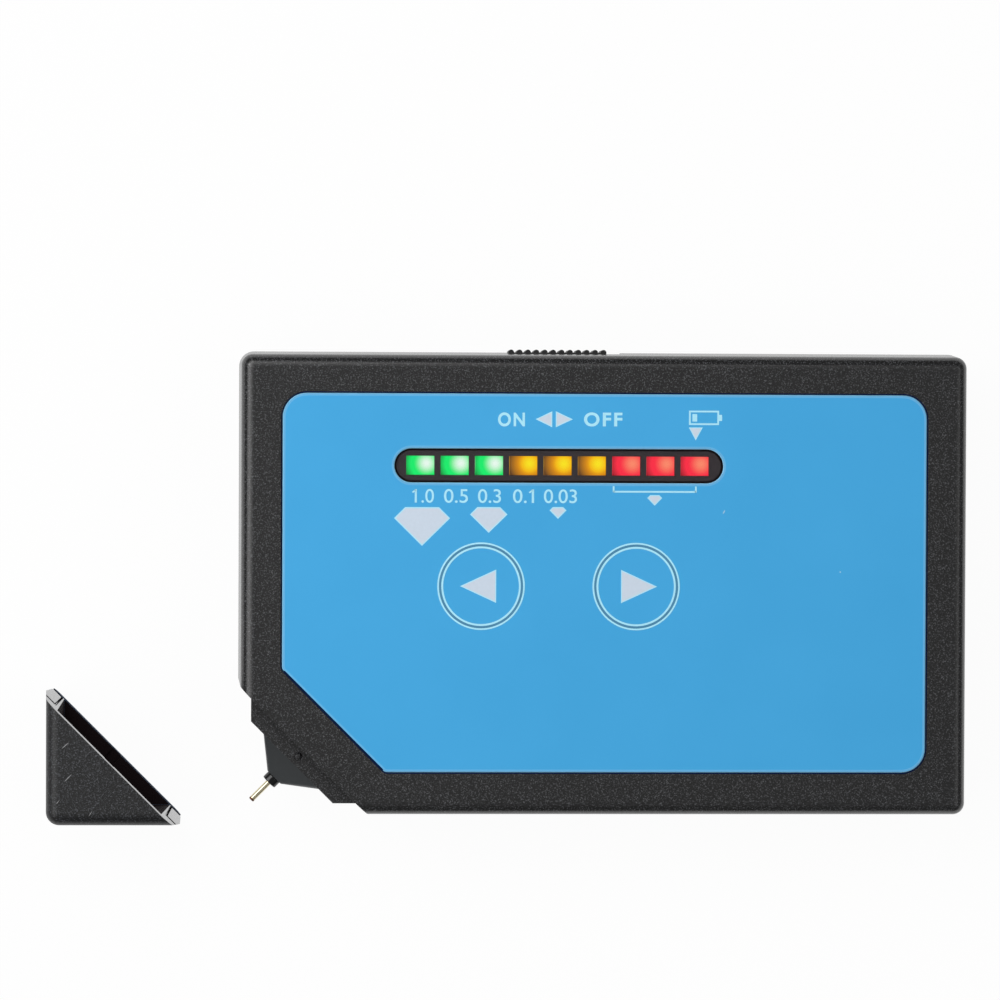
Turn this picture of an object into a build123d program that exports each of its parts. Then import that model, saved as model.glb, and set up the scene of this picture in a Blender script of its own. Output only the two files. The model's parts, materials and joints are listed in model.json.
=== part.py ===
from build123d import *
from math import atan, cos, degrees, radians, sin, sqrt
import os

os.makedirs("parts", exist_ok=True)

# Diamond tester, lying on its back: +X to the right, +Y to the far edge, +Z up.
# The origin is the middle of the back face, and all lengths are in millimetres.

# Case
case_width = 107.0
case_height = 68.0
case_thickness = 18.0
case_draft = 4.0
case_corner_radius = 2.2
front_edge_radius = 2.0
back_edge_radius = 1.2
side_wall = 2.0
front_wall = 1.8
back_wall = 2.2
cavity_corner_radius = 1.2
parting = case_thickness / 2

# Lip of the front half inside the rim of the back half
lip_height = 0.8
lip_thickness = 0.8
lip_clearance = 0.1

# Cut-off corner, measured square to the cut from the sharp corner
shoulder_depth = 13.8
shoulder_wall = 2.0
shoulder_lean = 1.8
tongue_length = 2.46
nub_radius = 0.65
nub_height = 0.3

# Film panel
film_side_margin = 6.55
film_near_margin = 6.75
film_far_margin = 6.15
film_corner_radius = 3.5
film_cut_margin = 6.2
film_cut_radius = 1.0
film_thickness = 0.3
film_recess = 0.4
film_gap = 0.22

# Row of lights
display_x = -6.78
display_share = 0.31
window_end_margin = 1.935
window_side_margin = 1.11
window_gap = 0.06
light_pitch = 5.0
light_length = 4.03
light_height = 2.73
light_edge = 0.2
light_gap = 0.05
light_drop = 0.3
light_shift = 0.17
mask_gap = 0.3
mask_drop = 0.2
mask_foot_margin = 1.2
mask_foot_height = 1.2
light_colours = ["green", "amber", "red"]
lights_per_colour = 3
light_count = lights_per_colour * len(light_colours)

# Film keys and their switches
key_spacing = 22.6
key_share = 0.325
key_diameter = 11.2
key_gap = 0.1
key_cap_inset = 0.1
key_hole_gap = 0.3
key_flange_lap = 0.9
key_flange_thickness = 0.85
key_flange_gap = 0.15
key_travel = 0.3
switch_size = 6.0
switch_height = 3.4
switch_corner_radius = 0.5
stem_diameter = 3.4
stem_gap = 0.1
stem_sunk = 1.2

# Circuit board
board_boss_gap = 0.5
board_box_gap = 0.9
board_thickness = 1.2
board_room = 5.2
board_corner_radius = 1.0
board_hole_gap = 0.2
board_screw_inset = 3.0
post_diameter = 4.4
post_pilot_diameter = 1.9
post_pilot_depth = 4.2

# Screws
screw_side_inset = 7.0
screw_edge_inset = 7.5
left_screw_share = 0.148
screw_diameter = 2.2
screw_end_gap = 1.2
screw_head_diameter = 4.2
screw_head_height = 1.6
screw_tip = 1.0
screw_clearance = 0.1
screw_bore_gap = 0.05
counterbore_depth = 4.0
counterbore_diameter = 4.7
boss_diameter = 7.0
board_screw_diameter = 1.8
board_screw_length = 4.6
board_screw_head_diameter = 3.2
board_screw_head_height = 1.1

# Slide switch and its knob
knob_travel = 2.0
knob_ridges = 12
knob_ridge_pitch = 1.235
knob_ridge_radius = 0.42
knob_pad_width = 6.0
knob_pad_floor = 1.15
knob_pad_sunk = 0.02
knob_pad_corner = 0.8
knob_slot_floor = 1.3
knob_gap = 0.2
knob_stem_length = 3.6
knob_stem_width = 4.0
knob_stem_reach = 4.0
knob_stem_gap = 0.25
knob_switch_gap = 0.5
lever_length = 1.5
lever_thickness = 1.2
lever_end_gap = 0.1
lever_sunk = 2.0
lever_gap = 0.08
fork_gap = 0.05
fork_depth = 1.9
slide_switch_length = 8.6
slide_switch_depth = 4.3
slide_switch_height = 4.3
slide_switch_edge = 0.3

# Probe, with its axis through the sharp corner at the parting height
rod_reach = 3.68
rod_diameter = 0.85
rod_gap = 0.05
tip_length = 0.3
bushing_diameter = 2.35
bushing_length = 1.15
bushing_neck_diameter = 1.6
bushing_neck_length = 2.0
bushing_edge = 0.15
nozzle_reach = 6.23
nozzle_end_width = 2.8
nozzle_end_corner = 0.45
nozzle_base_width = 11.95
nozzle_base_height = 9.0
nozzle_base_corner = 0.8
nozzle_gap = 0.05
nozzle_flange_margin = 0.95
nozzle_flange_thickness = 1.2
carrier_diameter = 3.9
carrier_side_gap = 0.15
carrier_inset = 3.0
carrier_seat_gap = 0.1
carrier_length = 3.5
carrier_edge = 0.3
probe_travel = 1.5
holder_wall = 1.1
holder_end_wall = 1.0
spring_wire = 0.35
spring_side_gap = 0.25
spring_turns = 6
spring_spare = 3.75
cradle_thickness = 1.6
cradle_end_inset = 1.5
cradle_wall = 1.3
cradle_gap = 0.1

# Batteries and their box in the back half
cell_diameter = 10.5
cell_length = 44.5
cell_nub_diameter = 3.8
cell_nub_length = 0.8
cell_edge = 0.6
cell_gap = 0.4
cell_side_gap = 0.3
cell_cover_gap = 0.4
cell_roof_gap = 0.2
battery_box_share = 0.084
box_wall = 1.0
box_end_wall = 1.4
box_side_gap = 0.6
box_roof = 1.2
rim_clearance = 0.35
plate_thickness = 0.4
plate_inset = 0.75
plate_side_inset = 0.95
bump_height = 0.7
bump_diameter = 4.4
tab_width = 2.0
tab_inset = 0.6
tab_reach = 1.0
tab_gap = 0.1
battery_spring_length = 4.0
battery_spring_wire = 0.6
battery_spring_turns = 3
battery_spring_large = 6.8
battery_spring_small = 4.2

# Battery cover
cover_thickness = 1.4
cover_lift = 0.1
cover_gap = 0.12
cover_margin = 1.5
cover_rail_height = 0.7
cover_rail_width = 0.8
cover_rail_gap = 0.1
grip_count = 6
grip_pitch = 1.6
grip_length = 14.0
grip_width = 0.7
grip_depth = 0.4
grip_rise = 9.0

# Cap
cap_wall = 1.5
cap_corner_radius = 1.0
cap_rim_gap = 0.48
cap_proud = 0.25
cap_side_gap = 0.55
cap_face_gap = 0.5
cap_notch_width = 1.7
cap_notch_depth = 0.35
cap_notch_length = 2.2
land_wall = 1.9
land_length = 1.5
land_inset = 0.7
land_groove_width = 0.3
land_groove_height = 1.0
land_groove_depth = 0.6
land_front_inset = 4.2
land_back_inset = 1.5
cap_away_x = -27.92
cap_away_y = -1.4

# Parts on the board
buzzer_diameter = 12.0
buzzer_height = 5.4
buzzer_hole = 2.0
buzzer_edge = 0.5
chip_leg_height = 0.6
chip_lift = 0.15
chip_edge = 0.3
controller_size = (10.3, 7.5, 2.1)
controller_legs = 10
amplifier_size = (4.9, 3.9, 1.5)
amplifier_legs = 4
leg_pitch = 1.0
leg_width = 0.4
leg_reach = 1.0
can_diameter = 5.0
can_height = 5.4
can_base = 1.2
can_spacing = 7.0
resistor_size = (2.0, 1.25, 0.5)
resistor_columns = 5
resistor_rows = 2
resistor_pitch = 4.0
connector_size = (6.0, 4.5, 4.2)
connector_wall = 0.8
connector_pin = 0.6
connector_pin_pitch = 2.0
plug_gap = 0.1
plug_stand = 0.7

# Places on the board, as shares of its length and height from its middle
board_place_shares = {
    "buzzer": (0.306, 0.07),
    "controller": (-0.318, 0.015),
    "amplifier": (-0.353, -0.347),
    "cans": (0.094, -0.18),
    "resistors": (-0.1, 0.07),
    "connector": (-0.435, -0.17),
}

# Leads
lead_diameter = 0.7
lead_gap = 0.15
lead_floor_gap = 0.85
lead_run = 3.0
lead_slope = 6.0
lead_bend = 2.0
lead_plug_bend = 1.2
lead_pad_bend = 1.5
pad_spacing = 1.8
pad_inset = 2.0
lead_step_run = 2.0

# Planes and heights of the case
overrun = 1.0
corner = (-case_width / 2, -case_height / 2)
probe_frame = Plane(origin=(*corner, parting), x_dir=(-1, 1, 0), z_dir=(1, 1, 0))
front_face = case_thickness
front_inside = case_thickness - front_wall
film_floor = front_face - film_recess
lean = radians(shoulder_lean)
shoulder_plane = Plane(
    origin=(*[c + shoulder_depth / sqrt(2) for c in corner], front_face),
    x_dir=(-1, 1, 0),
    z_dir=(cos(lean), cos(lean), sqrt(2) * sin(lean)),
)
cut_depth = shoulder_depth + shoulder_wall
tongue_depth = shoulder_depth - tongue_length
nub_depth = shoulder_depth - tongue_length / 2
tongue_side_inset = cap_wall + cap_side_gap
tongue_face_inset = cap_wall + cap_face_gap

# Battery box and near screws, along the near wall from the probe's flange
cell_lift = cover_lift + cover_thickness + cell_cover_gap
cell_z = cell_lift + cell_diameter / 2
cell_spacing = cell_diameter + cell_gap
box_length = cell_length + battery_spring_length + bump_height + 2 * plate_thickness
box_width = 2 * cell_diameter + cell_gap + 2 * cell_side_gap
box_height = cell_lift + cell_diameter + cell_roof_gap + box_roof
box_wide = box_length + 2 * box_end_wall
box_deep = box_width + 2 * box_wall
box_low = -case_height / 2 + side_wall + box_side_gap
box_high = box_low + box_deep
box_y = (box_low + box_high) / 2
flange_width = nozzle_base_width + 2 * nozzle_flange_margin
flange_height = nozzle_base_height + 2 * nozzle_flange_margin
flange_end = (cut_depth + 2 * nozzle_flange_thickness + flange_width / 2) / sqrt(2)
screw_x = case_width / 2 - screw_side_inset
screw_y = case_height / 2 - screw_edge_inset
near_room = screw_x - boss_diameter * 3 / 2 + case_width / 2 - flange_end - box_wide
screw_left_x = corner[0] + flange_end + left_screw_share * near_room + boss_diameter / 2
box_x = screw_left_x + boss_diameter / 2 + battery_box_share * near_room + box_wide / 2
case_screw_places = [
    (-screw_x, screw_y),
    (screw_x, screw_y),
    (screw_x, -screw_y),
    (screw_left_x, -screw_y),
]

# Panel, row of lights and keys
film_width = case_width - 2 * film_side_margin
film_height = case_height - film_near_margin - film_far_margin
film_y = (film_near_margin - film_far_margin) / 2
window_length = light_pitch * (light_count - 1) + light_length + 2 * window_end_margin
window_height = light_height + 2 * window_side_margin
display_y = film_y + display_share * film_height
key_y = box_high + key_share * (display_y - window_height / 2 - box_high)
key_cap_diameter = key_diameter - 2 * key_cap_inset
key_hole_diameter = key_cap_diameter + 2 * key_hole_gap
key_flange_diameter = key_hole_diameter + 2 * key_flange_lap
key_places = {
    "left": (display_x - key_spacing / 2, key_y),
    "right": (display_x + key_spacing / 2, key_y),
}

# Board, between the battery box and the knob's stem
board_top = front_inside - board_room
board_bottom = board_top - board_thickness
board_low = box_high + board_box_gap
board_high = case_height / 2 - knob_stem_reach - knob_switch_gap
board_y = (board_low + board_high) / 2
board_height = board_high - board_low
board_width = 2 * (screw_x - boss_diameter / 2 - board_boss_gap)
board_screw_x = board_width / 2 - board_screw_inset
board_screw_places = [
    (x, y)
    for x in (-board_screw_x, board_screw_x)
    for y in (board_low + board_screw_inset, board_high - board_screw_inset)
]
on_board = {
    name: (x_share * board_width, board_y + y_share * board_height)
    for name, (x_share, y_share) in board_place_shares.items()
}

# Depths of the probe's pieces
nozzle_end = shoulder_depth - nozzle_reach
probe_point = nozzle_end - bushing_length - rod_reach
carrier_front = cut_depth - carrier_inset
carrier_bore_diameter = carrier_diameter + 2 * carrier_side_gap
carrier_bore_front = carrier_front - carrier_seat_gap
holder_diameter = carrier_bore_diameter + 2 * holder_wall
holder_wire_hole = 2 * (lead_diameter + lead_gap)
spring_diameter = carrier_bore_diameter - 2 * spring_side_gap
spring_length = (spring_turns + 1) * spring_wire + probe_travel + spring_spare
spring_front = carrier_front + carrier_length
holder_front = cut_depth + nozzle_flange_thickness
holder_end = spring_front + spring_length + holder_end_wall
cradle_depth = holder_end - cradle_end_inset - cradle_thickness
cradle_width = holder_diameter + 2 * cradle_wall


def save(piece, name):
    """Label a finished piece and write it."""
    piece.part.label = name
    export_step(piece.part, f"parts/{name}.step")


def half_form(way, edge_radius, growth=0):
    """Outer form of one half of the case, drafted away from the parting line."""
    with BuildPart() as form:
        with BuildSketch(Plane.XY.offset(parting)):
            RectangleRounded(
                case_width + 2 * growth, case_height + 2 * growth, case_corner_radius + growth
            )
        extrude(amount=parting, dir=(0, 0, way), taper=case_draft)
        rim = form.faces().sort_by(Axis.Z)[-1 if way > 0 else 0]
        fillet(rim.edges(), edge_radius)
    return form.part


def half_cavity(way, end_wall):
    """Hollow of one half, up to the wall behind the cut-off corner."""
    with BuildPart() as cavity:
        with BuildSketch(Plane.XY.offset(parting)):
            RectangleRounded(
                case_width - 2 * side_wall,
                case_height - 2 * side_wall,
                cavity_corner_radius,
            )
        extrude(amount=parting - end_wall, dir=(0, 0, way), taper=case_draft)
        split(bisect_by=probe_frame.offset(cut_depth), keep=Keep.TOP)
    return cavity.part


def half_tongue(way):
    """One half of the stepped tongue that the cap slides over."""
    with BuildPart() as tongue:
        with BuildSketch(Plane.XY.offset(parting)):
            Rectangle(
                case_width - 2 * tongue_side_inset,
                case_height - 2 * tongue_side_inset,
            )
        extrude(amount=parting - tongue_face_inset, dir=(0, 0, way))
        split(bisect_by=probe_frame.offset(tongue_depth), keep=Keep.TOP)
        split(bisect_by=probe_frame.offset(cut_depth), keep=Keep.BOTTOM)
    return tongue.part


def rim_step(inset, height):
    """Frame along the parting line, from an inset to the inner wall."""
    with BuildPart() as step:
        with BuildSketch(Plane.XY.offset(parting - height)):
            RectangleRounded(
                case_width - 2 * inset, case_height - 2 * inset, case_corner_radius - inset
            )
            Rectangle(
                case_width - 2 * side_wall,
                case_height - 2 * side_wall,
                mode=Mode.SUBTRACT,
            )
        extrude(amount=height)
        split(bisect_by=probe_frame.offset(cut_depth), keep=Keep.TOP)
    return step.part


def nozzle_pocket():
    """Room in the tongue for the foot of the nozzle."""
    with BuildPart() as pocket:
        with BuildSketch(probe_frame.offset(tongue_depth - overrun)):
            RectangleRounded(
                nozzle_base_width + 2 * nozzle_gap,
                nozzle_base_height + 2 * nozzle_gap,
                nozzle_base_corner,
            )
        extrude(amount=cut_depth - tongue_depth + 2 * overrun)
    return pocket.part


def knob_opening():
    """Pocket and slot in the far wall, in which the knob slides."""
    pad_length = knob_ridge_pitch * (knob_ridges - 1) + 2 * knob_ridge_radius
    middle = (display_x + knob_travel / 2, parting)
    wall_plane = Plane(origin=(0, case_height / 2, 0), x_dir=(1, 0, 0), z_dir=(0, -1, 0))
    with BuildPart() as opening:
        with BuildSketch(wall_plane.offset(-overrun)):
            with Locations(middle):
                RectangleRounded(
                    pad_length + knob_travel + 2 * knob_gap,
                    knob_pad_width + 2 * knob_gap,
                    knob_pad_corner,
                )
        extrude(amount=overrun + knob_slot_floor)
        with BuildSketch(wall_plane.offset(-overrun)):
            with Locations(middle):
                Rectangle(
                    knob_stem_length + knob_travel + 2 * knob_stem_gap,
                    knob_stem_width + 2 * knob_stem_gap,
                )
        extrude(amount=2 * overrun + side_wall)
    return opening.part


def film_outline(growth):
    """Outline of the film panel, grown all round, with its corner cut off."""
    with BuildSketch() as outline:
        with Locations((0, film_y)):
            Rectangle(film_width + 2 * growth, film_height + 2 * growth)
        square_corners = outline.vertices().sort_by_distance(corner)[1:]
        fillet(square_corners, film_corner_radius + growth)
        cut = shoulder_depth + film_cut_margin - growth
        split(bisect_by=probe_frame.offset(cut), keep=Keep.TOP)
        cut_ends = outline.vertices().sort_by_distance(corner)[:2]
        fillet(cut_ends, film_cut_radius + growth)
    return outline.sketch


# Front half of the case
pad_depth = film_recess + overrun
with BuildPart() as front_shell:
    add(half_form(1, front_edge_radius))
    split(bisect_by=shoulder_plane, keep=Keep.TOP)
    add(half_cavity(1, front_wall), mode=Mode.SUBTRACT)
    add(half_tongue(1))
    add(rim_step(side_wall - lip_thickness, lip_height))
    with BuildSketch(Plane.XY.offset(parting)):
        with Locations(*case_screw_places):
            Circle(boss_diameter / 2)
    extrude(amount=front_inside - parting)
    with BuildSketch(Plane.XY.offset(parting)):
        with Locations(*case_screw_places):
            Circle(screw_diameter / 2 + screw_bore_gap)
    extrude(amount=front_inside - screw_end_gap + screw_tip - parting, mode=Mode.SUBTRACT)
    with BuildSketch(Plane.XY.offset(board_top)):
        with Locations(*board_screw_places):
            Circle(post_diameter / 2)
    extrude(amount=front_inside - board_top)
    with BuildSketch(Plane.XY.offset(board_top)):
        with Locations(*board_screw_places):
            Circle(post_pilot_diameter / 2)
    extrude(amount=post_pilot_depth, mode=Mode.SUBTRACT)
    with BuildSketch(Plane.XY.offset(film_floor)):
        add(film_outline(film_gap))
    extrude(amount=pad_depth, mode=Mode.SUBTRACT)
    with BuildSketch(Plane.XY.offset(front_inside)):
        with Locations((display_x, display_y)):
            SlotOverall(window_length, window_height)
        with Locations(*key_places.values()):
            Circle(key_hole_diameter / 2)
    extrude(amount=front_wall, mode=Mode.SUBTRACT)
    add(nozzle_pocket(), mode=Mode.SUBTRACT)
    add(knob_opening(), mode=Mode.SUBTRACT)
    nub_place = probe_frame.offset(nub_depth).origin
    with Locations((nub_place.X, nub_place.Y, front_face - tongue_face_inset)):
        Cone(nub_radius, nub_radius / 2, nub_height, align=(Align.CENTER, Align.CENTER, Align.MIN))
save(front_shell, "front_shell")

# Back half of the case, with the battery box
plus_wall = box_x - box_length / 2
minus_wall = box_x + box_length / 2
upper_y = box_y + cell_spacing / 2
lower_y = box_y - cell_spacing / 2
plate_height = cell_diameter - 2 * plate_inset
plate_width = cell_diameter - 2 * plate_side_inset
tab_rise = plate_width / 2 - tab_inset - tab_width / 2
tab_places = [lower_y + tab_rise, upper_y + tab_rise]
cover_length = box_length + 2 * cover_margin
cover_top = box_y + box_width / 2 + cover_margin
cover_span = cover_top + case_height / 2
ledge_low = -case_height / 2 + side_wall / 2
ledge_high = box_low + box_wall
ledge_height = parting - lip_height - rim_clearance
tab_slot_width = tab_width + 2 * tab_gap
tab_slot_height = plate_thickness + 2 * tab_gap
with BuildPart() as back_shell:
    add(half_form(-1, back_edge_radius))
    split(bisect_by=shoulder_plane, keep=Keep.TOP)
    add(half_cavity(-1, back_wall), mode=Mode.SUBTRACT)
    add(half_tongue(-1))
    add(
        rim_step(side_wall - lip_thickness - lip_clearance, lip_height + lip_clearance),
        mode=Mode.SUBTRACT,
    )
    with BuildSketch(Plane.XY.offset(back_wall)):
        with Locations((box_x, (ledge_low + ledge_high) / 2)):
            Rectangle(box_wide, ledge_high - ledge_low)
    extrude(amount=ledge_height - back_wall)
    with BuildSketch(Plane.XY.offset(back_wall)):
        with Locations((box_x, box_y)):
            Rectangle(box_wide, box_deep)
    extrude(amount=box_height - back_wall)
    with BuildSketch():
        with Locations((box_x, box_y)):
            Rectangle(box_length, box_width)
    extrude(amount=box_height - box_roof, mode=Mode.SUBTRACT)
    with BuildSketch(Plane.YZ.offset(plus_wall)):
        with Locations(*[(y, cell_z) for y in tab_places]):
            Rectangle(tab_slot_width, tab_slot_height)
    extrude(amount=-box_end_wall, mode=Mode.SUBTRACT)
    with BuildSketch(Plane.XY.offset(-overrun)):
        with Locations((box_x, cover_top + cover_gap)):
            Rectangle(
                cover_length + 2 * cover_gap,
                cover_span + cover_gap + overrun,
                align=(Align.CENTER, Align.MAX),
            )
    extrude(amount=overrun + cover_lift + cover_thickness + cover_gap, mode=Mode.SUBTRACT)
    rail_low = cover_lift + cover_thickness - cover_rail_height - cover_rail_gap
    with BuildSketch(Plane.XY.offset(rail_low)):
        with Locations((box_x, cover_top + cover_gap)):
            Rectangle(
                cover_length + 2 * (cover_rail_width + cover_gap),
                cover_span + cover_gap + overrun,
                align=(Align.CENTER, Align.MAX),
            )
    extrude(
        amount=cover_rail_height + cover_rail_gap + cover_gap,
        mode=Mode.SUBTRACT,
    )
    with BuildSketch(Plane.XY.offset(back_wall)):
        with Locations(*case_screw_places):
            Circle(boss_diameter / 2)
    extrude(amount=parting - back_wall)
    with BuildSketch():
        with Locations(*case_screw_places):
            Circle(counterbore_diameter / 2)
    extrude(amount=counterbore_depth, mode=Mode.SUBTRACT)
    with BuildSketch():
        with Locations(*case_screw_places):
            Circle(screw_diameter / 2 + screw_clearance)
    extrude(amount=parting, mode=Mode.SUBTRACT)
    with BuildSketch(probe_frame.offset(cradle_depth)):
        with Locations((0, (back_wall - parting) / 2)):
            Rectangle(cradle_width, parting - back_wall)
        Circle(holder_diameter / 2 + cradle_gap, mode=Mode.SUBTRACT)
    extrude(amount=cradle_thickness)
    add(nozzle_pocket(), mode=Mode.SUBTRACT)
    add(knob_opening(), mode=Mode.SUBTRACT)
    with Locations((nub_place.X, nub_place.Y, tongue_face_inset)):
        Cone(nub_radius / 2, nub_radius, nub_height, align=(Align.CENTER, Align.CENTER, Align.MAX))
save(back_shell, "back_shell")

# Battery cover, which slides off over the near edge
with BuildPart() as battery_cover:
    with BuildSketch(Plane.XY.offset(cover_lift)):
        with Locations((box_x, cover_top)):
            Rectangle(cover_length, cover_span, align=(Align.CENTER, Align.MAX))
    extrude(amount=cover_thickness)
    with BuildSketch(Plane.XY.offset(cover_lift + cover_thickness - cover_rail_height)):
        with Locations((box_x, cover_top)):
            Rectangle(
                cover_length + 2 * cover_rail_width,
                cover_span,
                align=(Align.CENTER, Align.MAX),
            )
    extrude(amount=cover_rail_height)
    add(half_form(-1, back_edge_radius), mode=Mode.INTERSECT)
    with BuildSketch(Plane.XY.offset(cover_lift)):
        with Locations((box_x, -case_height / 2 + grip_rise)):
            with GridLocations(0, grip_pitch, 1, grip_count):
                SlotOverall(grip_length, grip_width)
    extrude(amount=grip_depth, mode=Mode.SUBTRACT)
save(battery_cover, "battery_cover")

# Film panel
with BuildPart() as panel_film:
    with BuildSketch(Plane.XY.offset(film_floor)):
        add(film_outline(0))
        with Locations((display_x, display_y)):
            SlotOverall(window_length, window_height, mode=Mode.SUBTRACT)
        with Locations(*key_places.values()):
            Circle(key_diameter / 2 + key_gap, mode=Mode.SUBTRACT)
    extrude(amount=film_thickness)
save(panel_film, "panel_film")

# Smoked strip over the lights
with BuildPart() as led_window:
    with BuildSketch(Plane.XY.offset(film_floor)):
        with Locations((display_x, display_y)):
            SlotOverall(window_length - 2 * window_gap, window_height - 2 * window_gap)
    extrude(amount=film_thickness)
save(led_window, "led_window")

# Black bar with a window for each light, standing on the board
with BuildPart() as led_mask:
    with BuildSketch(Plane.XY.offset(board_top)):
        with Locations((display_x, display_y)):
            SlotOverall(window_length - 2 * mask_gap, window_height - 2 * mask_gap)
    extrude(amount=film_floor - mask_drop - board_top)
    with BuildSketch(Plane.XY.offset(board_top)):
        with Locations((display_x, display_y)):
            SlotOverall(window_length + mask_foot_margin, window_height + mask_foot_margin)
    extrude(amount=mask_foot_height)
    with BuildSketch(Plane.XY.offset(board_top)):
        with Locations((display_x - light_shift, display_y)):
            with GridLocations(light_pitch, 0, light_count, 1):
                Rectangle(light_length + 2 * light_gap, light_height + 2 * light_gap)
    extrude(amount=front_face - board_top, mode=Mode.SUBTRACT)
save(led_mask, "led_mask")

# Nine rectangular lights
for index in range(light_count):
    light_x = display_x - light_shift + (index - (light_count - 1) / 2) * light_pitch
    colour = light_colours[index // lights_per_colour]
    number = index % lights_per_colour + 1
    with BuildPart() as light:
        with BuildSketch(Plane.XY.offset(board_top)):
            with Locations((light_x, display_y)):
                Rectangle(light_length, light_height)
        extrude(amount=film_floor - light_drop - board_top)
        chamfer(light.edges().group_by(Axis.Z)[-1], light_edge)
    save(light, f"led_{colour}_{number}")

# Film keys, key caps and push switches
cap_floor = front_inside - key_flange_gap - key_flange_thickness
switch_top = board_top + switch_height
for side, place in key_places.items():
    with BuildPart() as key_film:
        with BuildSketch(Plane.XY.offset(film_floor)):
            with Locations(place):
                Circle(key_diameter / 2)
        extrude(amount=film_thickness)
    save(key_film, f"{side}_key_film")

    with BuildPart() as key_cap:
        with BuildSketch(Plane.XY.offset(cap_floor)):
            with Locations(place):
                Circle(key_flange_diameter / 2)
        extrude(amount=key_flange_thickness)
        with BuildSketch(Plane.XY.offset(cap_floor)):
            with Locations(place):
                Circle(key_cap_diameter / 2)
        extrude(amount=film_floor - cap_floor)
    save(key_cap, f"{side}_key_cap")

    with BuildPart() as switch_stem:
        with BuildSketch(Plane.XY.offset(switch_top - stem_sunk)):
            with Locations(place):
                Circle(stem_diameter / 2)
        extrude(amount=cap_floor - switch_top + stem_sunk)
    save(switch_stem, f"{side}_switch_stem")

    with BuildPart() as switch_body:
        with BuildSketch(Plane.XY.offset(board_top)):
            with Locations(place):
                RectangleRounded(switch_size, switch_size, switch_corner_radius)
        extrude(amount=switch_height)
        with BuildSketch(Plane.XY.offset(switch_top)):
            with Locations(place):
                Circle(stem_diameter / 2 + stem_gap)
        extrude(amount=-stem_sunk - 2 * key_travel, mode=Mode.SUBTRACT)
    save(switch_body, f"{side}_switch_body")

# Circuit board
with BuildPart() as circuit_board:
    with BuildSketch(Plane.XY.offset(board_bottom)):
        with Locations((0, board_y)):
            RectangleRounded(board_width, board_height, board_corner_radius)
        with Locations(*board_screw_places):
            Circle(board_screw_diameter / 2 + board_hole_gap, mode=Mode.SUBTRACT)
    extrude(amount=board_thickness)
save(circuit_board, "circuit_board")


def screw_form(length, radius, head_radius, head_height, tip):
    """A pan-head screw, standing on its head with its shank up, turned about Z."""
    with BuildPart() as screw:
        with BuildSketch(Plane.XZ):
            with BuildLine():
                Polyline(
                    (0, 0),
                    (head_radius, 0),
                    (head_radius, head_height),
                    (radius, head_height),
                    (radius, head_height + length - tip),
                    (0, head_height + length),
                    close=True,
                )
            make_face()
        revolve(axis=Axis.Z)
        fillet(screw.edges().group_by(Axis.Z)[0], head_height / 2)
    return screw.part


# Case screws, driven from the back
screw_length = front_inside - screw_end_gap - counterbore_depth
case_screw = screw_form(
    screw_length, screw_diameter / 2, screw_head_diameter / 2, screw_head_height, screw_tip
)
with BuildPart() as case_screws:
    with Locations(*[(x, y, counterbore_depth - screw_head_height) for x, y in case_screw_places]):
        add(case_screw)
save(case_screws, "case_screws")

# Board screws, driven from behind the board
board_screw = screw_form(
    board_screw_length,
    board_screw_diameter / 2,
    board_screw_head_diameter / 2,
    board_screw_head_height,
    screw_tip,
)
with BuildPart() as board_screws:
    with Locations(*[(x, y, board_bottom - board_screw_head_height) for x, y in board_screw_places]):
        add(board_screw)
save(board_screws, "board_screws")

# Slide switch on the back of the board
slide_switch_front = board_high
lever_z = board_bottom - slide_switch_height / 2
lever_reach = knob_switch_gap + fork_depth - lever_end_gap
with BuildPart() as slide_switch_body:
    with BuildSketch(Plane.XY.offset(board_bottom)):
        with Locations((display_x + knob_travel / 2, slide_switch_front)):
            Rectangle(slide_switch_length, slide_switch_depth, align=(Align.CENTER, Align.MAX))
    extrude(amount=-slide_switch_height)
    chamfer(slide_switch_body.edges().group_by(Axis.Z)[0], slide_switch_edge)
    with Locations((display_x + knob_travel / 2, slide_switch_front, lever_z)):
        Box(
            lever_length + knob_travel + 2 * lever_gap,
            lever_sunk + lever_gap,
            lever_thickness + 2 * lever_gap,
            align=(Align.CENTER, Align.MAX, Align.CENTER),
            mode=Mode.SUBTRACT,
        )
save(slide_switch_body, "slide_switch_body")

with BuildPart() as slide_switch_lever:
    with Locations((display_x, slide_switch_front - lever_sunk, lever_z)):
        Box(
            lever_length,
            lever_sunk + lever_reach,
            lever_thickness,
            align=(Align.CENTER, Align.MIN, Align.CENTER),
        )
    fillet(slide_switch_lever.edges().filter_by(Axis.Z).group_by(Axis.Y)[-1], lever_gap)
save(slide_switch_lever, "slide_switch_lever")

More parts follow.
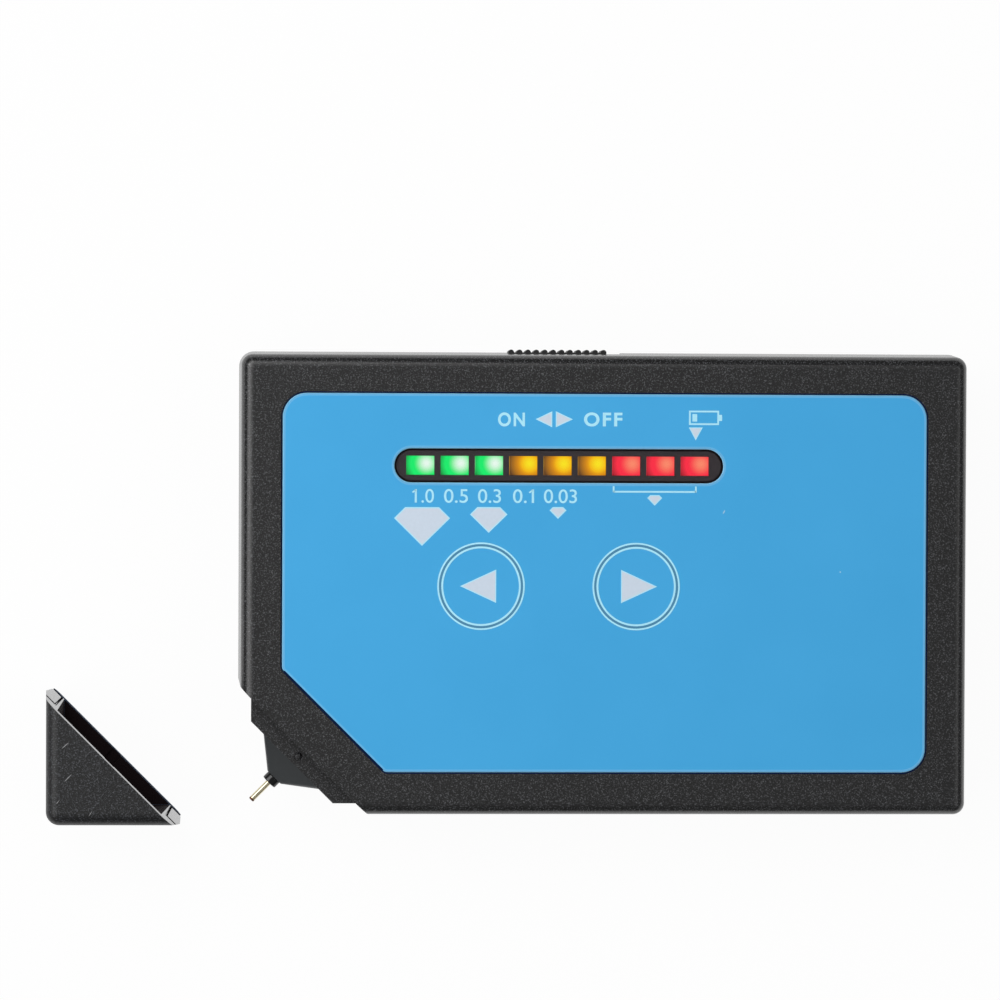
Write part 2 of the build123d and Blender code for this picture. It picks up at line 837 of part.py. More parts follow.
# Ribbed knob in the far wall
pad_length = knob_ridge_pitch * (knob_ridges - 1) + 2 * knob_ridge_radius
pad_floor_y = case_height / 2 - knob_pad_floor
pad_top_y = case_height / 2 - knob_pad_sunk
with BuildPart() as power_knob:
    with BuildSketch(Plane.XY.offset(parting - knob_pad_width / 2)):
        with Locations((display_x, pad_floor_y)):
            Rectangle(pad_length, pad_top_y - pad_floor_y, align=(Align.CENTER, Align.MIN))
        with Locations((display_x, pad_top_y)):
            with GridLocations(knob_ridge_pitch, 0, knob_ridges, 1):
                Circle(knob_ridge_radius)
    extrude(amount=knob_pad_width)
    with Locations((display_x, pad_floor_y, parting)):
        Box(
            knob_stem_length,
            knob_stem_reach - knob_pad_floor,
            knob_stem_width,
            align=(Align.CENTER, Align.MAX, Align.CENTER),
        )
    with Locations((display_x, case_height / 2 - knob_stem_reach, parting - knob_stem_width / 2)):
        Box(
            lever_length + 2 * fork_gap,
            fork_depth,
            lever_z + lever_thickness / 2 + fork_gap - parting + knob_stem_width / 2,
            align=(Align.CENTER, Align.MIN, Align.MIN),
            mode=Mode.SUBTRACT,
        )
save(power_knob, "power_knob")

# Nozzle, held by its flange behind the shoulder
with BuildPart() as probe_nozzle:
    with BuildSketch(probe_frame.offset(tongue_depth)):
        RectangleRounded(nozzle_base_width, nozzle_base_height, nozzle_base_corner)
    with BuildSketch(probe_frame.offset(nozzle_end)):
        RectangleRounded(nozzle_end_width, nozzle_end_width, nozzle_end_corner)
    loft()
    with BuildSketch(probe_frame.offset(tongue_depth)):
        RectangleRounded(nozzle_base_width, nozzle_base_height, nozzle_base_corner)
    extrude(amount=cut_depth - tongue_depth)
    with BuildSketch(probe_frame.offset(cut_depth)):
        RectangleRounded(flange_width, flange_height, nozzle_base_corner)
    extrude(amount=nozzle_flange_thickness)
    with BuildSketch(probe_frame.offset(nozzle_end)):
        Circle(bushing_neck_diameter / 2)
    extrude(amount=bushing_neck_length, mode=Mode.SUBTRACT)
    with BuildSketch(probe_frame.offset(nozzle_end)):
        Circle(rod_diameter / 2 + 2 * rod_gap)
    extrude(amount=carrier_bore_front - nozzle_end + overrun, mode=Mode.SUBTRACT)
    with BuildSketch(probe_frame.offset(carrier_bore_front)):
        Circle(carrier_bore_diameter / 2)
    extrude(amount=cut_depth + nozzle_flange_thickness - carrier_bore_front, mode=Mode.SUBTRACT)
save(probe_nozzle, "probe_nozzle")

# Glossy ring at the mouth of the nozzle
with BuildPart() as probe_bushing:
    with BuildSketch(probe_frame.offset(nozzle_end)):
        Circle(bushing_diameter / 2)
    extrude(amount=-bushing_length)
    fillet(probe_bushing.edges().filter_by(GeomType.CIRCLE), bushing_edge)
    with BuildSketch(probe_frame.offset(nozzle_end)):
        Circle(bushing_neck_diameter / 2)
    extrude(amount=bushing_neck_length)
    with BuildSketch(probe_frame.offset(nozzle_end - bushing_length - overrun)):
        Circle(rod_diameter / 2 + rod_gap)
    extrude(amount=bushing_length + bushing_neck_length + 2 * overrun, mode=Mode.SUBTRACT)
save(probe_bushing, "probe_bushing")

# Probe rod, its copper end and its heated carrier
with BuildPart() as probe_rod:
    with BuildSketch(probe_frame.offset(probe_point + tip_length)):
        Circle(rod_diameter / 2)
    extrude(amount=carrier_front - probe_point - tip_length)
save(probe_rod, "probe_rod")

with BuildPart() as probe_tip:
    with BuildSketch(probe_frame.offset(probe_point)):
        Circle(rod_diameter / 2)
    extrude(amount=tip_length)
    chamfer(probe_tip.edges().sort_by_distance(corner)[:1], tip_length / 4)
save(probe_tip, "probe_tip")

with BuildPart() as probe_heater:
    with BuildSketch(probe_frame.offset(carrier_front)):
        Circle(carrier_diameter / 2)
    extrude(amount=carrier_length)
    chamfer(probe_heater.edges().filter_by(GeomType.CIRCLE), carrier_edge)
save(probe_heater, "probe_heater")

# Holder of the spring, on the back of the nozzle's flange
holder_length = holder_end - holder_front
with BuildPart() as probe_holder:
    with BuildSketch(probe_frame.offset(holder_front)):
        RectangleRounded(flange_width, flange_height, nozzle_base_corner)
    extrude(amount=nozzle_flange_thickness)
    with BuildSketch(probe_frame.offset(holder_front)):
        Circle(holder_diameter / 2)
    extrude(amount=holder_length)
    with BuildSketch(probe_frame.offset(holder_front)):
        Circle(carrier_bore_diameter / 2)
    extrude(amount=holder_length - holder_end_wall, mode=Mode.SUBTRACT)
    with BuildSketch(probe_frame.offset(holder_front)):
        Circle(holder_wire_hole / 2)
    extrude(amount=holder_length, mode=Mode.SUBTRACT)
save(probe_holder, "probe_holder")


def coil(plane, length, wire, start_radius, end_radius, turns):
    """A spring of round wire along a plane's normal, between two faces."""
    rise = length - wire
    pitch = rise / turns
    cone = (end_radius - start_radius) / rise
    with BuildPart() as spring:
        with BuildLine() as path:
            start = plane.offset(wire / 2)
            line = Helix(
                pitch,
                rise,
                start_radius,
                center=start.origin,
                direction=start.z_dir,
                cone_angle=degrees(atan(cone)),
            )
        with BuildSketch(Plane(origin=line @ 0, z_dir=line % 0)):
            Circle(wire / 2)
        sweep(path=path.line, is_frenet=True)
    return spring.part


# Spring of the probe
spring_radius = (spring_diameter - spring_wire) / 2
with BuildPart() as probe_spring:
    add(
        coil(
            probe_frame.offset(spring_front),
            spring_length,
            spring_wire,
            spring_radius,
            spring_radius,
            spring_turns,
        )
    )
save(probe_spring, "probe_spring")

# Two cells side by side, turned opposite ways
for number, way in ((1, 1), (2, -1)):
    end_x = box_x + way * (box_length / 2 - plate_thickness - bump_height)
    end_y = box_y + way * cell_spacing / 2
    cell_plane = Plane(origin=(end_x, end_y, cell_z), z_dir=(-way, 0, 0))
    with BuildPart() as battery_cell:
        with BuildSketch(cell_plane):
            Circle(cell_nub_diameter / 2)
        extrude(amount=cell_nub_length)
        with BuildSketch(cell_plane.offset(cell_nub_length)):
            Circle(cell_diameter / 2)
        extrude(amount=cell_length - cell_nub_length)
        fillet(
            battery_cell.edges().filter_by(GeomType.CIRCLE).group_by(SortBy.LENGTH)[-1],
            cell_edge,
        )
    save(battery_cell, f"battery_cell_{number}")


def contact_plate(face_x, way, low_y, high_y, bump_y=None, tab_y=None):
    """A pressed contact plate on an end wall, with a bump for a nub or a tab through the wall."""
    with BuildPart() as plate:
        with BuildSketch(Plane(origin=(face_x, 0, 0), x_dir=(0, 1, 0), z_dir=(1, 0, 0))):
            with Locations(((low_y + high_y) / 2, cell_z)):
                Rectangle(high_y - low_y, plate_height)
        extrude(amount=way * plate_thickness)
        if bump_y is not None:
            bump_plane = Plane(origin=(face_x + way * plate_thickness, bump_y, cell_z), z_dir=(way, 0, 0))
            with BuildSketch(bump_plane):
                Circle(bump_diameter / 2)
            with BuildSketch(bump_plane.offset(bump_height)):
                Circle(bump_diameter / 2 - bump_height)
            loft()
        if tab_y is not None:
            with BuildSketch(Plane(origin=(face_x, 0, 0), x_dir=(0, 1, 0), z_dir=(1, 0, 0))):
                with Locations((tab_y, cell_z)):
                    Rectangle(tab_width, plate_thickness)
            extrude(amount=-way * (box_end_wall + tab_reach))
    return plate.part


# Contact plates: one bridge across both cells, and one plate each for plus and minus
plate_reach = plate_width / 2
with BuildPart() as battery_bridge_plate:
    add(contact_plate(minus_wall, -1, lower_y - plate_reach, upper_y + plate_reach, bump_y=upper_y))
save(battery_bridge_plate, "battery_bridge_plate")

with BuildPart() as battery_plus_plate:
    add(
        contact_plate(
            plus_wall,
            1,
            lower_y - plate_reach,
            lower_y + plate_reach,
            bump_y=lower_y,
            tab_y=tab_places[0],
        )
    )
save(battery_plus_plate, "battery_plus_plate")

with BuildPart() as battery_minus_plate:
    add(
        contact_plate(
            plus_wall, 1, upper_y - plate_reach, upper_y + plate_reach, tab_y=tab_places[1]
        )
    )
save(battery_minus_plate, "battery_minus_plate")

# Battery springs, against the flat end of each cell
with BuildPart() as battery_springs:
    for way, y in ((1, upper_y), (-1, lower_y)):
        foot_x = box_x - way * (box_length / 2 - plate_thickness)
        add(
            coil(
                Plane(origin=(foot_x, y, cell_z), z_dir=(way, 0, 0)),
                battery_spring_length,
                battery_spring_wire,
                battery_spring_large / 2,
                battery_spring_small / 2,
                battery_spring_turns,
            )
        )
save(battery_springs, "battery_springs")


def chip(size, place, legs):
    """A flat chip with two rows of legs, under the board."""
    length, width, height = size
    low = board_bottom - chip_lift
    with BuildPart() as body:
        with BuildSketch(Plane.XY.offset(low)):
            with Locations(place):
                Rectangle(length, width)
        extrude(amount=-height)
        chamfer(body.edges().group_by(Axis.Z)[0], chip_edge)
        with BuildSketch(Plane.XY.offset(board_bottom)):
            with Locations(place):
                with GridLocations(leg_pitch, 0, legs, 1):
                    Rectangle(leg_width, width + 2 * leg_reach)
        extrude(amount=-chip_leg_height)
    return body.part


# Sounder, chips and other parts on the back of the board
with BuildPart() as buzzer:
    with BuildSketch(Plane.XY.offset(board_bottom)):
        with Locations(on_board["buzzer"]):
            Circle(buzzer_diameter / 2)
    extrude(amount=-buzzer_height)
    fillet(buzzer.edges().group_by(Axis.Z)[0], buzzer_edge)
    with BuildSketch(Plane.XY.offset(board_bottom - buzzer_height)):
        with Locations(on_board["buzzer"]):
            Circle(buzzer_hole / 2)
    extrude(amount=buzzer_height / 2, mode=Mode.SUBTRACT)
save(buzzer, "buzzer")

with BuildPart() as controller_chip:
    add(chip(controller_size, on_board["controller"], controller_legs))
save(controller_chip, "controller_chip")

with BuildPart() as amplifier_chip:
    add(chip(amplifier_size, on_board["amplifier"], amplifier_legs))
save(amplifier_chip, "amplifier_chip")

with BuildPart() as board_capacitors:
    with BuildSketch(Plane.XY.offset(board_bottom)):
        with Locations(on_board["cans"]):
            with GridLocations(can_spacing, 0, 2, 1):
                Rectangle(can_diameter, can_diameter)
    extrude(amount=-can_base)
    with BuildSketch(Plane.XY.offset(board_bottom - can_base)):
        with Locations(on_board["cans"]):
            with GridLocations(can_spacing, 0, 2, 1):
                Circle(can_diameter / 2 - chip_edge)
    extrude(amount=can_base - can_height)
save(board_capacitors, "board_capacitors")

with BuildPart() as board_resistors:
    with BuildSketch(Plane.XY.offset(board_bottom)):
        with Locations(on_board["resistors"]):
            with GridLocations(resistor_pitch, resistor_pitch, resistor_columns, resistor_rows):
                Rectangle(resistor_size[0], resistor_size[1])
    extrude(amount=-resistor_size[2])
save(board_resistors, "board_resistors")

with BuildPart() as probe_connector:
    with BuildSketch(Plane.XY.offset(board_bottom)):
        with Locations(on_board["connector"]):
            Rectangle(connector_size[0], connector_size[1])
    extrude(amount=-connector_size[2])
    with BuildSketch(Plane.XY.offset(board_bottom - connector_size[2])):
        with Locations(on_board["connector"]):
            Rectangle(
                connector_size[0] - 2 * connector_wall, connector_size[1] - 2 * connector_wall
            )
    extrude(amount=connector_size[2] - connector_wall, mode=Mode.SUBTRACT)
    with BuildSketch(Plane.XY.offset(board_bottom - connector_wall)):
        with Locations(on_board["connector"]):
            with GridLocations(connector_pin_pitch, 0, 2, 1):
                Rectangle(connector_pin, connector_pin)
    extrude(amount=-connector_size[2] + 2 * connector_wall)
save(probe_connector, "probe_connector")

# Plug of the probe's leads, pushed into the connector from below
connector_low = board_bottom - connector_size[2]
plug_low = connector_low - plug_stand
plug_height = connector_size[2] - connector_wall - plug_gap + plug_stand
with BuildPart() as probe_plug:
    with BuildSketch(Plane.XY.offset(plug_low)):
        with Locations(on_board["connector"]):
            Rectangle(
                connector_size[0] - 2 * (connector_wall + plug_gap),
                connector_size[1] - 2 * (connector_wall + plug_gap),
            )
    extrude(amount=plug_height)
    with BuildSketch(Plane.XY.offset(connector_low)):
        with Locations(on_board["connector"]):
            with GridLocations(connector_pin_pitch, 0, 2, 1):
                Rectangle(connector_pin + 2 * plug_gap, connector_pin + 2 * plug_gap)
    extrude(amount=plug_height, mode=Mode.SUBTRACT)
save(probe_plug, "probe_plug")


def lead(points, bends):
    """An insulated lead along straight runs that are joined by arcs."""
    with BuildPart() as wire:
        with BuildLine() as path:
            FilletPolyline(*points, radius=bends)
        with BuildSketch(Plane(origin=points[0], z_dir=Vector(*points[1]) - Vector(*points[0]))):
            Circle(lead_diameter / 2)
        sweep(path=path.line)
    return wire.part


# Two leads from the probe's holder down to the plug
lead_low = back_wall + lead_floor_gap + lead_diameter / 2
plug_x, plug_y = on_board["connector"]
with BuildPart() as probe_leads:
    for way in (-1, 1):
        aside = -way * (lead_diameter + lead_gap) / 2
        leave = probe_frame.offset(holder_end - holder_end_wall).from_local_coords((aside, 0, 0))
        turn = probe_frame.offset(holder_end + lead_run).from_local_coords((aside, 0, 0))
        pin_x = plug_x + way * connector_pin_pitch / 2
        points = [
            (leave.X, leave.Y, leave.Z),
            (turn.X, turn.Y, turn.Z),
            (pin_x, turn.Y + lead_slope, lead_low),
            (pin_x, plug_y, lead_low),
            (pin_x, plug_y, plug_low),
        ]
        add(lead(points, [lead_bend, lead_bend, lead_plug_bend]))
save(probe_leads, "probe_leads")

# Two leads from the tabs of the contact plates up to the board
pad_y = board_low + pad_inset
tab_x = plus_wall - box_end_wall - tab_reach / 2
tab_edges = [y + tab_width / 2 for y in tab_places]
with BuildPart() as battery_leads:
    outer_x = tab_x - pad_spacing
    outer_points = [
        (tab_x, tab_edges[0], cell_z),
        (tab_x, tab_edges[0] + lead_step_run, cell_z),
        (outer_x, tab_edges[0] + 2 * lead_step_run, cell_z),
        (outer_x, pad_y, cell_z),
        (outer_x, pad_y, board_bottom),
    ]
    add(lead(outer_points, [lead_bend, lead_bend, lead_pad_bend]))
    inner_points = [
        (tab_x, tab_edges[1], cell_z),
        (tab_x, pad_y, cell_z),
        (tab_x, pad_y, board_bottom),
    ]
    add(lead(inner_points, [lead_pad_bend]))
save(battery_leads, "battery_leads")

# Cap, lying beside the case as it is put down, with a grooved land at each end of its rim
away = Location((cap_away_x, cap_away_y, 0))
rim_plane = shoulder_plane.offset(-cap_rim_gap)
rim_depth = shoulder_depth - cap_rim_gap
rim_reach = rim_depth + case_corner_radius
rim_middle = -case_thickness / 2
groove_start = rim_depth - sqrt(2) * land_wall + land_inset
groove_height = case_thickness - land_front_inset - land_back_inset
groove_y = (land_back_inset - land_front_inset) / 2 + rim_middle
land_start = groove_start + land_groove_width
hollow_height = case_thickness - 2 * cap_wall
with BuildPart() as probe_cap:
    add(half_form(1, front_edge_radius, cap_proud))
    add(half_form(-1, back_edge_radius, cap_proud))
    split(bisect_by=rim_plane, keep=Keep.BOTTOM)
    with BuildSketch(Plane.XY.offset(cap_wall)):
        Rectangle(case_width - 2 * land_wall, case_height - 2 * land_wall)
    extrude(amount=hollow_height, mode=Mode.SUBTRACT)
    with BuildSketch(Plane.XY.offset(cap_wall)):
        RectangleRounded(
            case_width - 2 * cap_wall, case_height - 2 * cap_wall, cap_corner_radius
        )
        split(bisect_by=probe_frame.offset(rim_depth - land_length), keep=Keep.BOTTOM)
    extrude(amount=hollow_height, mode=Mode.SUBTRACT)
    with BuildSketch(rim_plane):
        with Locations((0, rim_middle)):
            Rectangle(cap_notch_width, case_thickness - 2 * (cap_wall - cap_notch_depth))
    extrude(amount=-cap_notch_length, mode=Mode.SUBTRACT)
    for side in (-1, 1):
        with BuildSketch(rim_plane):
            with Locations((side * (groove_start + rim_reach) / 2, groove_y)):
                Rectangle(rim_reach - groove_start, groove_height)
            with Locations((side * (land_start + rim_reach) / 2, groove_y)):
                Rectangle(
                    rim_reach - land_start,
                    groove_height - 2 * land_groove_height,
                    mode=Mode.SUBTRACT,
                )
        extrude(amount=-land_groove_depth, mode=Mode.SUBTRACT)
probe_cap.part.locate(away)
save(probe_cap, "probe_cap")
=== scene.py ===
# %% [markdown]
# # A pocket diamond tester
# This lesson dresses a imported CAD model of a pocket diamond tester: a flat black case with a
# blue film panel, a row of lit lights, two film keys, a ribbed slide knob, a sprung probe at a
# cut-off corner, and the probe's cap lying beside it. The CAD model gives every size and place,
# so it is loaded first and stays as it is.

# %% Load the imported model
import bpy
import json
from math import pi, radians
from mathutils import Matrix, Vector


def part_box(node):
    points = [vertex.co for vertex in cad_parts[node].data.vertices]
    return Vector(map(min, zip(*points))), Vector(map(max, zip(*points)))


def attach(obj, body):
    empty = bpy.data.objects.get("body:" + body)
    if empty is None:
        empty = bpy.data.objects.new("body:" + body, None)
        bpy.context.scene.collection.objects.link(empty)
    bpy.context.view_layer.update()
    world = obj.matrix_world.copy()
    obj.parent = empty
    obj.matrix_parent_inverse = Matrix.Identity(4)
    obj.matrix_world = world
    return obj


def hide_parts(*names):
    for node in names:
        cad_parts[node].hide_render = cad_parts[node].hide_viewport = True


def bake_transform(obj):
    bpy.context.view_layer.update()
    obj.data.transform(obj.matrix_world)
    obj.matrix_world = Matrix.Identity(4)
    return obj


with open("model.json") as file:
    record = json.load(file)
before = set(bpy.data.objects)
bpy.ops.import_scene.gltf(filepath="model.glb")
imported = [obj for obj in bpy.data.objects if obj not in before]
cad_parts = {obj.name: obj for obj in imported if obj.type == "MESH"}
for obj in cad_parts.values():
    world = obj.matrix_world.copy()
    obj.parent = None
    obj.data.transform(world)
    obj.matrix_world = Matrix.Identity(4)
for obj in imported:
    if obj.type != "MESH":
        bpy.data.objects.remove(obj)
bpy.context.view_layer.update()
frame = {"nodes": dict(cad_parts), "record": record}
nodes = frame["nodes"]
MM = 0.001

# %% [markdown]
# ## Colours and nodes
# Colours are written as they look on a screen, so one function turns them into the linear
# values that the shaders expect. Another small function adds a node with its settings, its
# socket values and its links. A material starts from one shader with constant sockets, and its
# pattern is then linked in.

# %% Helpers for materials
# The Mix node uses the same socket names for numbers, vectors and colours, so its colour
# sockets are called by number.
MIX_A, MIX_B, MIX_RESULT = 6, 7, 2


def linear(hex_colour):
    """Turn a screen colour such as #44A5DE into linear red, green, blue and alpha."""
    shares = [int(hex_colour[i:i + 2], 16) / 255 for i in (1, 3, 5)]
    return [s / 12.92 if s <= 0.04045 else ((s + 0.055) / 1.055) ** 2.4 for s in shares] + [1]


def add_node(tree, kind, values=None, links=None, **settings):
    """Add a node with its settings, its socket values and the outputs that feed it."""
    made = tree.nodes.new(kind)
    for name, value in settings.items():
        setattr(made, name, value)
    for socket, value in (values or {}).items():
        made.inputs[socket].default_value = value
    for socket, source in (links or {}).items():
        tree.links.new(source, made.inputs[socket])
    return made


def new_material(name, colour, **sockets):
    """Start a material on one Principled shader and give its tree, shader and place."""
    material = bpy.data.materials.new(name)
    material.use_nodes = True
    tree = material.node_tree
    shader = tree.nodes["Principled BSDF"]
    shader.inputs["Base Color"].default_value = linear(colour)
    for socket, value in sockets.items():
        shader.inputs[socket.replace("_", " ")].default_value = value
    place = add_node(tree, "ShaderNodeTexCoord").outputs["Object"]
    return material, tree, shader, place


def scored_line(tree, place, middle, length, width, turn):
    """Share of one scratch: full inside a long thin ellipse round its middle, in mm."""
    local = add_node(
        tree, "ShaderNodeMapping",
        {
            "Location": [m * MM for m in middle],
            "Rotation": (0, 0, radians(turn)),
            "Scale": (length / 2 * MM, width / 2 * MM, MM),
        },
        {"Vector": place}, vector_type="TEXTURE",
    ).outputs["Vector"]
    reach = add_node(
        tree, "ShaderNodeVectorMath", links={0: local}, operation="LENGTH",
    ).outputs["Value"]
    return add_node(
        tree, "ShaderNodeMapRange", {"From Min": 1.0, "From Max": 0.6}, {"Value": reach},
    ).outputs["Result"]


print("sky blue is", [round(c, 3) for c in linear("#44A5DE")])

# %% [markdown]
# ## Black moulded ABS
# The case is ABS moulded in a spark-eroded tool, which leaves a fine, even grain. The grain
# could be modelled, but at a fifth of a millimetre it belongs in the material: it lightens the
# colour in specks and lifts the surface by less than a tenth of a millimetre. Hands and pockets
# polish the sides more than the flat faces, so the shine grows stronger and the grain fainter
# where the surface turns away from the faces. How far it turns is the upright share of its
# normal: 1 on a face and 0 on a side. The cap takes the same plastic with duller sides and a
# few scratches.

# %% Case material
grain_size = 0.21
grain_relief = 0.085
turned_away = 0.92
facing_up = 0.998
face_roughness = 0.48
face_shine = 0.42
side_bump = 0.12
face_bump = 0.9


def case_plastic(name, speck, side_roughness, side_shine, wear=()):
    """Black ABS with a spark-eroded grain, smoother on its sides, and scratches as given."""
    material, tree, shader, place = new_material(name, "#18181A")
    grain = add_node(
        tree, "ShaderNodeTexNoise",
        {"Scale": 1 / (grain_size * MM), "Detail": 2.0, "Roughness": 0.7}, {"Vector": place},
    ).outputs["Fac"]
    specks = add_node(
        tree, "ShaderNodeMapRange", {"From Min": 0.53, "From Max": 0.70}, {"Value": grain},
    ).outputs["Result"]
    shown = add_node(
        tree, "ShaderNodeMix",
        {MIX_A: linear("#060607"), MIX_B: linear(speck)}, {"Factor": specks},
        data_type="RGBA",
    ).outputs[MIX_RESULT]
    for middle, length, width, turn in wear:
        mark = scored_line(tree, place, middle, length, width, turn)
        shown = add_node(
            tree, "ShaderNodeMix", {MIX_B: linear("#8E8E90")},
            {"Factor": mark, MIX_A: shown}, data_type="RGBA",
        ).outputs[MIX_RESULT]
    tree.links.new(shown, shader.inputs["Base Color"])
    normal = add_node(tree, "ShaderNodeNewGeometry").outputs["Normal"]
    upward = add_node(tree, "ShaderNodeSeparateXYZ", links={"Vector": normal}).outputs["Z"]
    level = add_node(
        tree, "ShaderNodeMath", links={0: upward}, operation="ABSOLUTE",
    ).outputs[0]
    grained = add_node(
        tree, "ShaderNodeMapRange",
        {"From Min": turned_away, "From Max": facing_up}, {"Value": level},
    ).outputs["Result"]
    roughness = add_node(
        tree, "ShaderNodeMapRange",
        {"To Min": side_roughness, "To Max": face_roughness}, {"Value": grained},
    ).outputs["Result"]
    tree.links.new(roughness, shader.inputs["Roughness"])
    shine = add_node(
        tree, "ShaderNodeMapRange",
        {"To Min": side_shine, "To Max": face_shine}, {"Value": grained},
    ).outputs["Result"]
    tree.links.new(shine, shader.inputs["Specular IOR Level"])
    strength = add_node(
        tree, "ShaderNodeMapRange",
        {"To Min": side_bump, "To Max": face_bump}, {"Value": grained},
    ).outputs["Result"]
    bump = add_node(
        tree, "ShaderNodeBump", {"Distance": grain_relief * MM},
        {"Height": grain, "Strength": strength},
    ).outputs["Normal"]
    tree.links.new(bump, shader.inputs["Normal"])
    return material


abs_case = case_plastic("abs_spark_eroded_black", "#58595C", 0.24, 0.85)
# Each scratch has its middle, its length and width in mm, and its turn in degrees.
cap_wear = [
    ((-78.26, -23.42, 18), 1.5, 0.14, 42), ((-77.84, -28.11, 18), 1.7, 0.14, 46),
    ((-79.3, -31.6, 18), 0.9, 0.10, 52), ((-74.6, -33.3, 18), 1.0, 0.10, 58),
]
abs_cap = case_plastic("abs_spark_eroded_scratched", "#515358", 0.42, 0.5, cap_wear)
print("made", abs_case.name, "and", abs_cap.name)

# %% [markdown]
# ## Plain finishes
# Most other pieces have no pattern of their own, only a faint unevenness from the mould, the
# lathe or the plating. One function gives it to all of them: the same soft noise, with a real
# size in millimetres, shades the colour, the shine and, where asked, the surface.

# %% One function for plain finishes
gloss_change = 0.06


def plain_finish(name, colour, size, variation, roughness, bump=0.0, **sockets):
    """A finish with a faint grain of a given size in mm, for pieces with no other pattern."""
    material, tree, shader, place = new_material(name, colour, **sockets)
    grain = add_node(
        tree, "ShaderNodeTexNoise", {"Scale": 1 / (size * MM), "Detail": 3.0}, {"Vector": place},
    ).outputs["Fac"]
    value = add_node(
        tree, "ShaderNodeMapRange", {"To Min": 1 - variation, "To Max": 1 + variation},
        {"Value": grain},
    ).outputs["Result"]
    shaded = add_node(
        tree, "ShaderNodeHueSaturation", {"Color": linear(colour)}, {"Value": value},
    ).outputs["Color"]
    tree.links.new(shaded, shader.inputs["Base Color"])
    gloss = add_node(
        tree, "ShaderNodeMapRange",
        {"To Min": roughness - gloss_change, "To Max": roughness + gloss_change},
        {"Value": grain},
    ).outputs["Result"]
    tree.links.new(gloss, shader.inputs["Roughness"])
    if bump:
        lifted = add_node(
            tree, "ShaderNodeBump", {"Strength": 0.5, "Distance": bump * MM}, {"Height": grain},
        ).outputs["Normal"]
        tree.links.new(lifted, shader.inputs["Normal"])
    return material


# The rim of the cap was cut with a sharp edge and shines, and its grey colour is painted
# highlight. Its hollow and the foot of its rim get hardly any light, so they are painted shade:
# dark and hardly shining.
rim_gloss_painted_highlight = plain_finish(
    "abs_cut_rim_glossy_painted_highlight", "#55565A", 0.6, 0.1, 0.12, Specular_IOR_Level=0.8
)
hollow_painted_shade = plain_finish(
    "abs_inner_painted_shade", "#1C1416", 0.5, 0.1, 0.8, Specular_IOR_Level=0.05
)
foot_shade = plain_finish(
    "abs_rim_foot_painted_shade", "#3E4C5E", 0.6, 0.1, 0.8, Specular_IOR_Level=0.05
)
print("made", rim_gloss_painted_highlight.name, hollow_painted_shade.name, "and", foot_shade.name)

# %% [markdown]
# ## Printed film
# The panel is a polycarbonate film, printed blue on its back and satin on its face. It shows
# hardly any texture, only a faint cloudiness and a few specks of dust, so the noise is slow and
# weak and the dust is a sparse set of cells that are paler near their centres. Its cut edge is
# painted paler as a highlight, and the gap round it is painted dark blue as shade.

# %% Film material
cloud_size = 16.0
dust_spacing = 8.5
satin_size = 0.16


def blue_film():
    """Satin polycarbonate film, printed sky blue, with a little dust and one short scratch."""
    material, tree, shader, place = new_material(
        "polycarbonate_film_printed_blue", "#41A5DE", Specular_IOR_Level=0.2
    )
    cloud = add_node(
        tree, "ShaderNodeTexNoise",
        {"Scale": 1 / (cloud_size * MM), "Detail": 3.0}, {"Vector": place},
    ).outputs["Fac"]
    printed = add_node(
        tree, "ShaderNodeMix",
        {MIX_A: linear("#42A8E2"), MIX_B: linear("#49AFE9")}, {"Factor": cloud},
        data_type="RGBA",
    ).outputs[MIX_RESULT]
    cells = add_node(
        tree, "ShaderNodeTexVoronoi", {"Scale": 1 / (dust_spacing * MM)}, {"Vector": place},
    ).outputs["Distance"]
    dust = add_node(
        tree, "ShaderNodeMapRange", {"From Min": 0.016, "From Max": 0.009}, {"Value": cells},
    ).outputs["Result"]
    scratch = scored_line(tree, place, (17.30, 10.76, 17.9), 0.75, 0.2, 62)
    marked = add_node(
        tree, "ShaderNodeMath", links={0: dust, 1: scratch}, operation="MAXIMUM",
    ).outputs[0]
    worn = add_node(
        tree, "ShaderNodeMix", {MIX_B: linear("#A9D3EE")},
        {"Factor": marked, MIX_A: printed}, data_type="RGBA",
    ).outputs[MIX_RESULT]
    tree.links.new(worn, shader.inputs["Base Color"])
    satin = add_node(
        tree, "ShaderNodeTexNoise",
        {"Scale": 1 / (satin_size * MM), "Detail": 1.0}, {"Vector": place},
    ).outputs["Fac"]
    roughness = add_node(
        tree, "ShaderNodeMapRange", {"To Min": 0.40, "To Max": 0.50}, {"Value": satin},
    ).outputs["Result"]
    tree.links.new(roughness, shader.inputs["Roughness"])
    bump = add_node(
        tree, "ShaderNodeBump", {"Strength": 0.12, "Distance": 0.01 * MM}, {"Height": satin},
    ).outputs["Normal"]
    tree.links.new(bump, shader.inputs["Normal"])
    return material


film_material = blue_film()
# The paler cut edge and border of the film are painted highlight.
film_edge_painted_highlight = plain_finish("polycarbonate_cut_edge_painted_highlight", "#8CCDF2", 0.5, 0.05, 0.35)
film_border_painted_highlight = plain_finish("polycarbonate_film_painted_highlight_border", "#62B5E8", 0.5, 0.05, 0.4)
# Painted shade: this dark blue stands in for the shade in the narrow gap round the film.
gap_painted_shade = plain_finish("film_gap_painted_shade_dark_blue", "#0C2450", 0.5, 0.08, 0.6, Specular_IOR_Level=0.1)
print("made", film_material.name, film_edge_painted_highlight.name, "and", gap_painted_shade.name)

# %% [markdown]
# ## Cleaning a CAD piece
# A CAD piece comes as loose triangles with razor edges. A copy is merged, its flat faces are
# joined again, and its sharp edges get a small radius that catches the light, as any moulded
# edge does. Weighted normals then keep the large faces flat beside their rounded edges. The
# copy takes the CAD piece's place in the picture and rides on the same body, unless it is told
# not to ride.

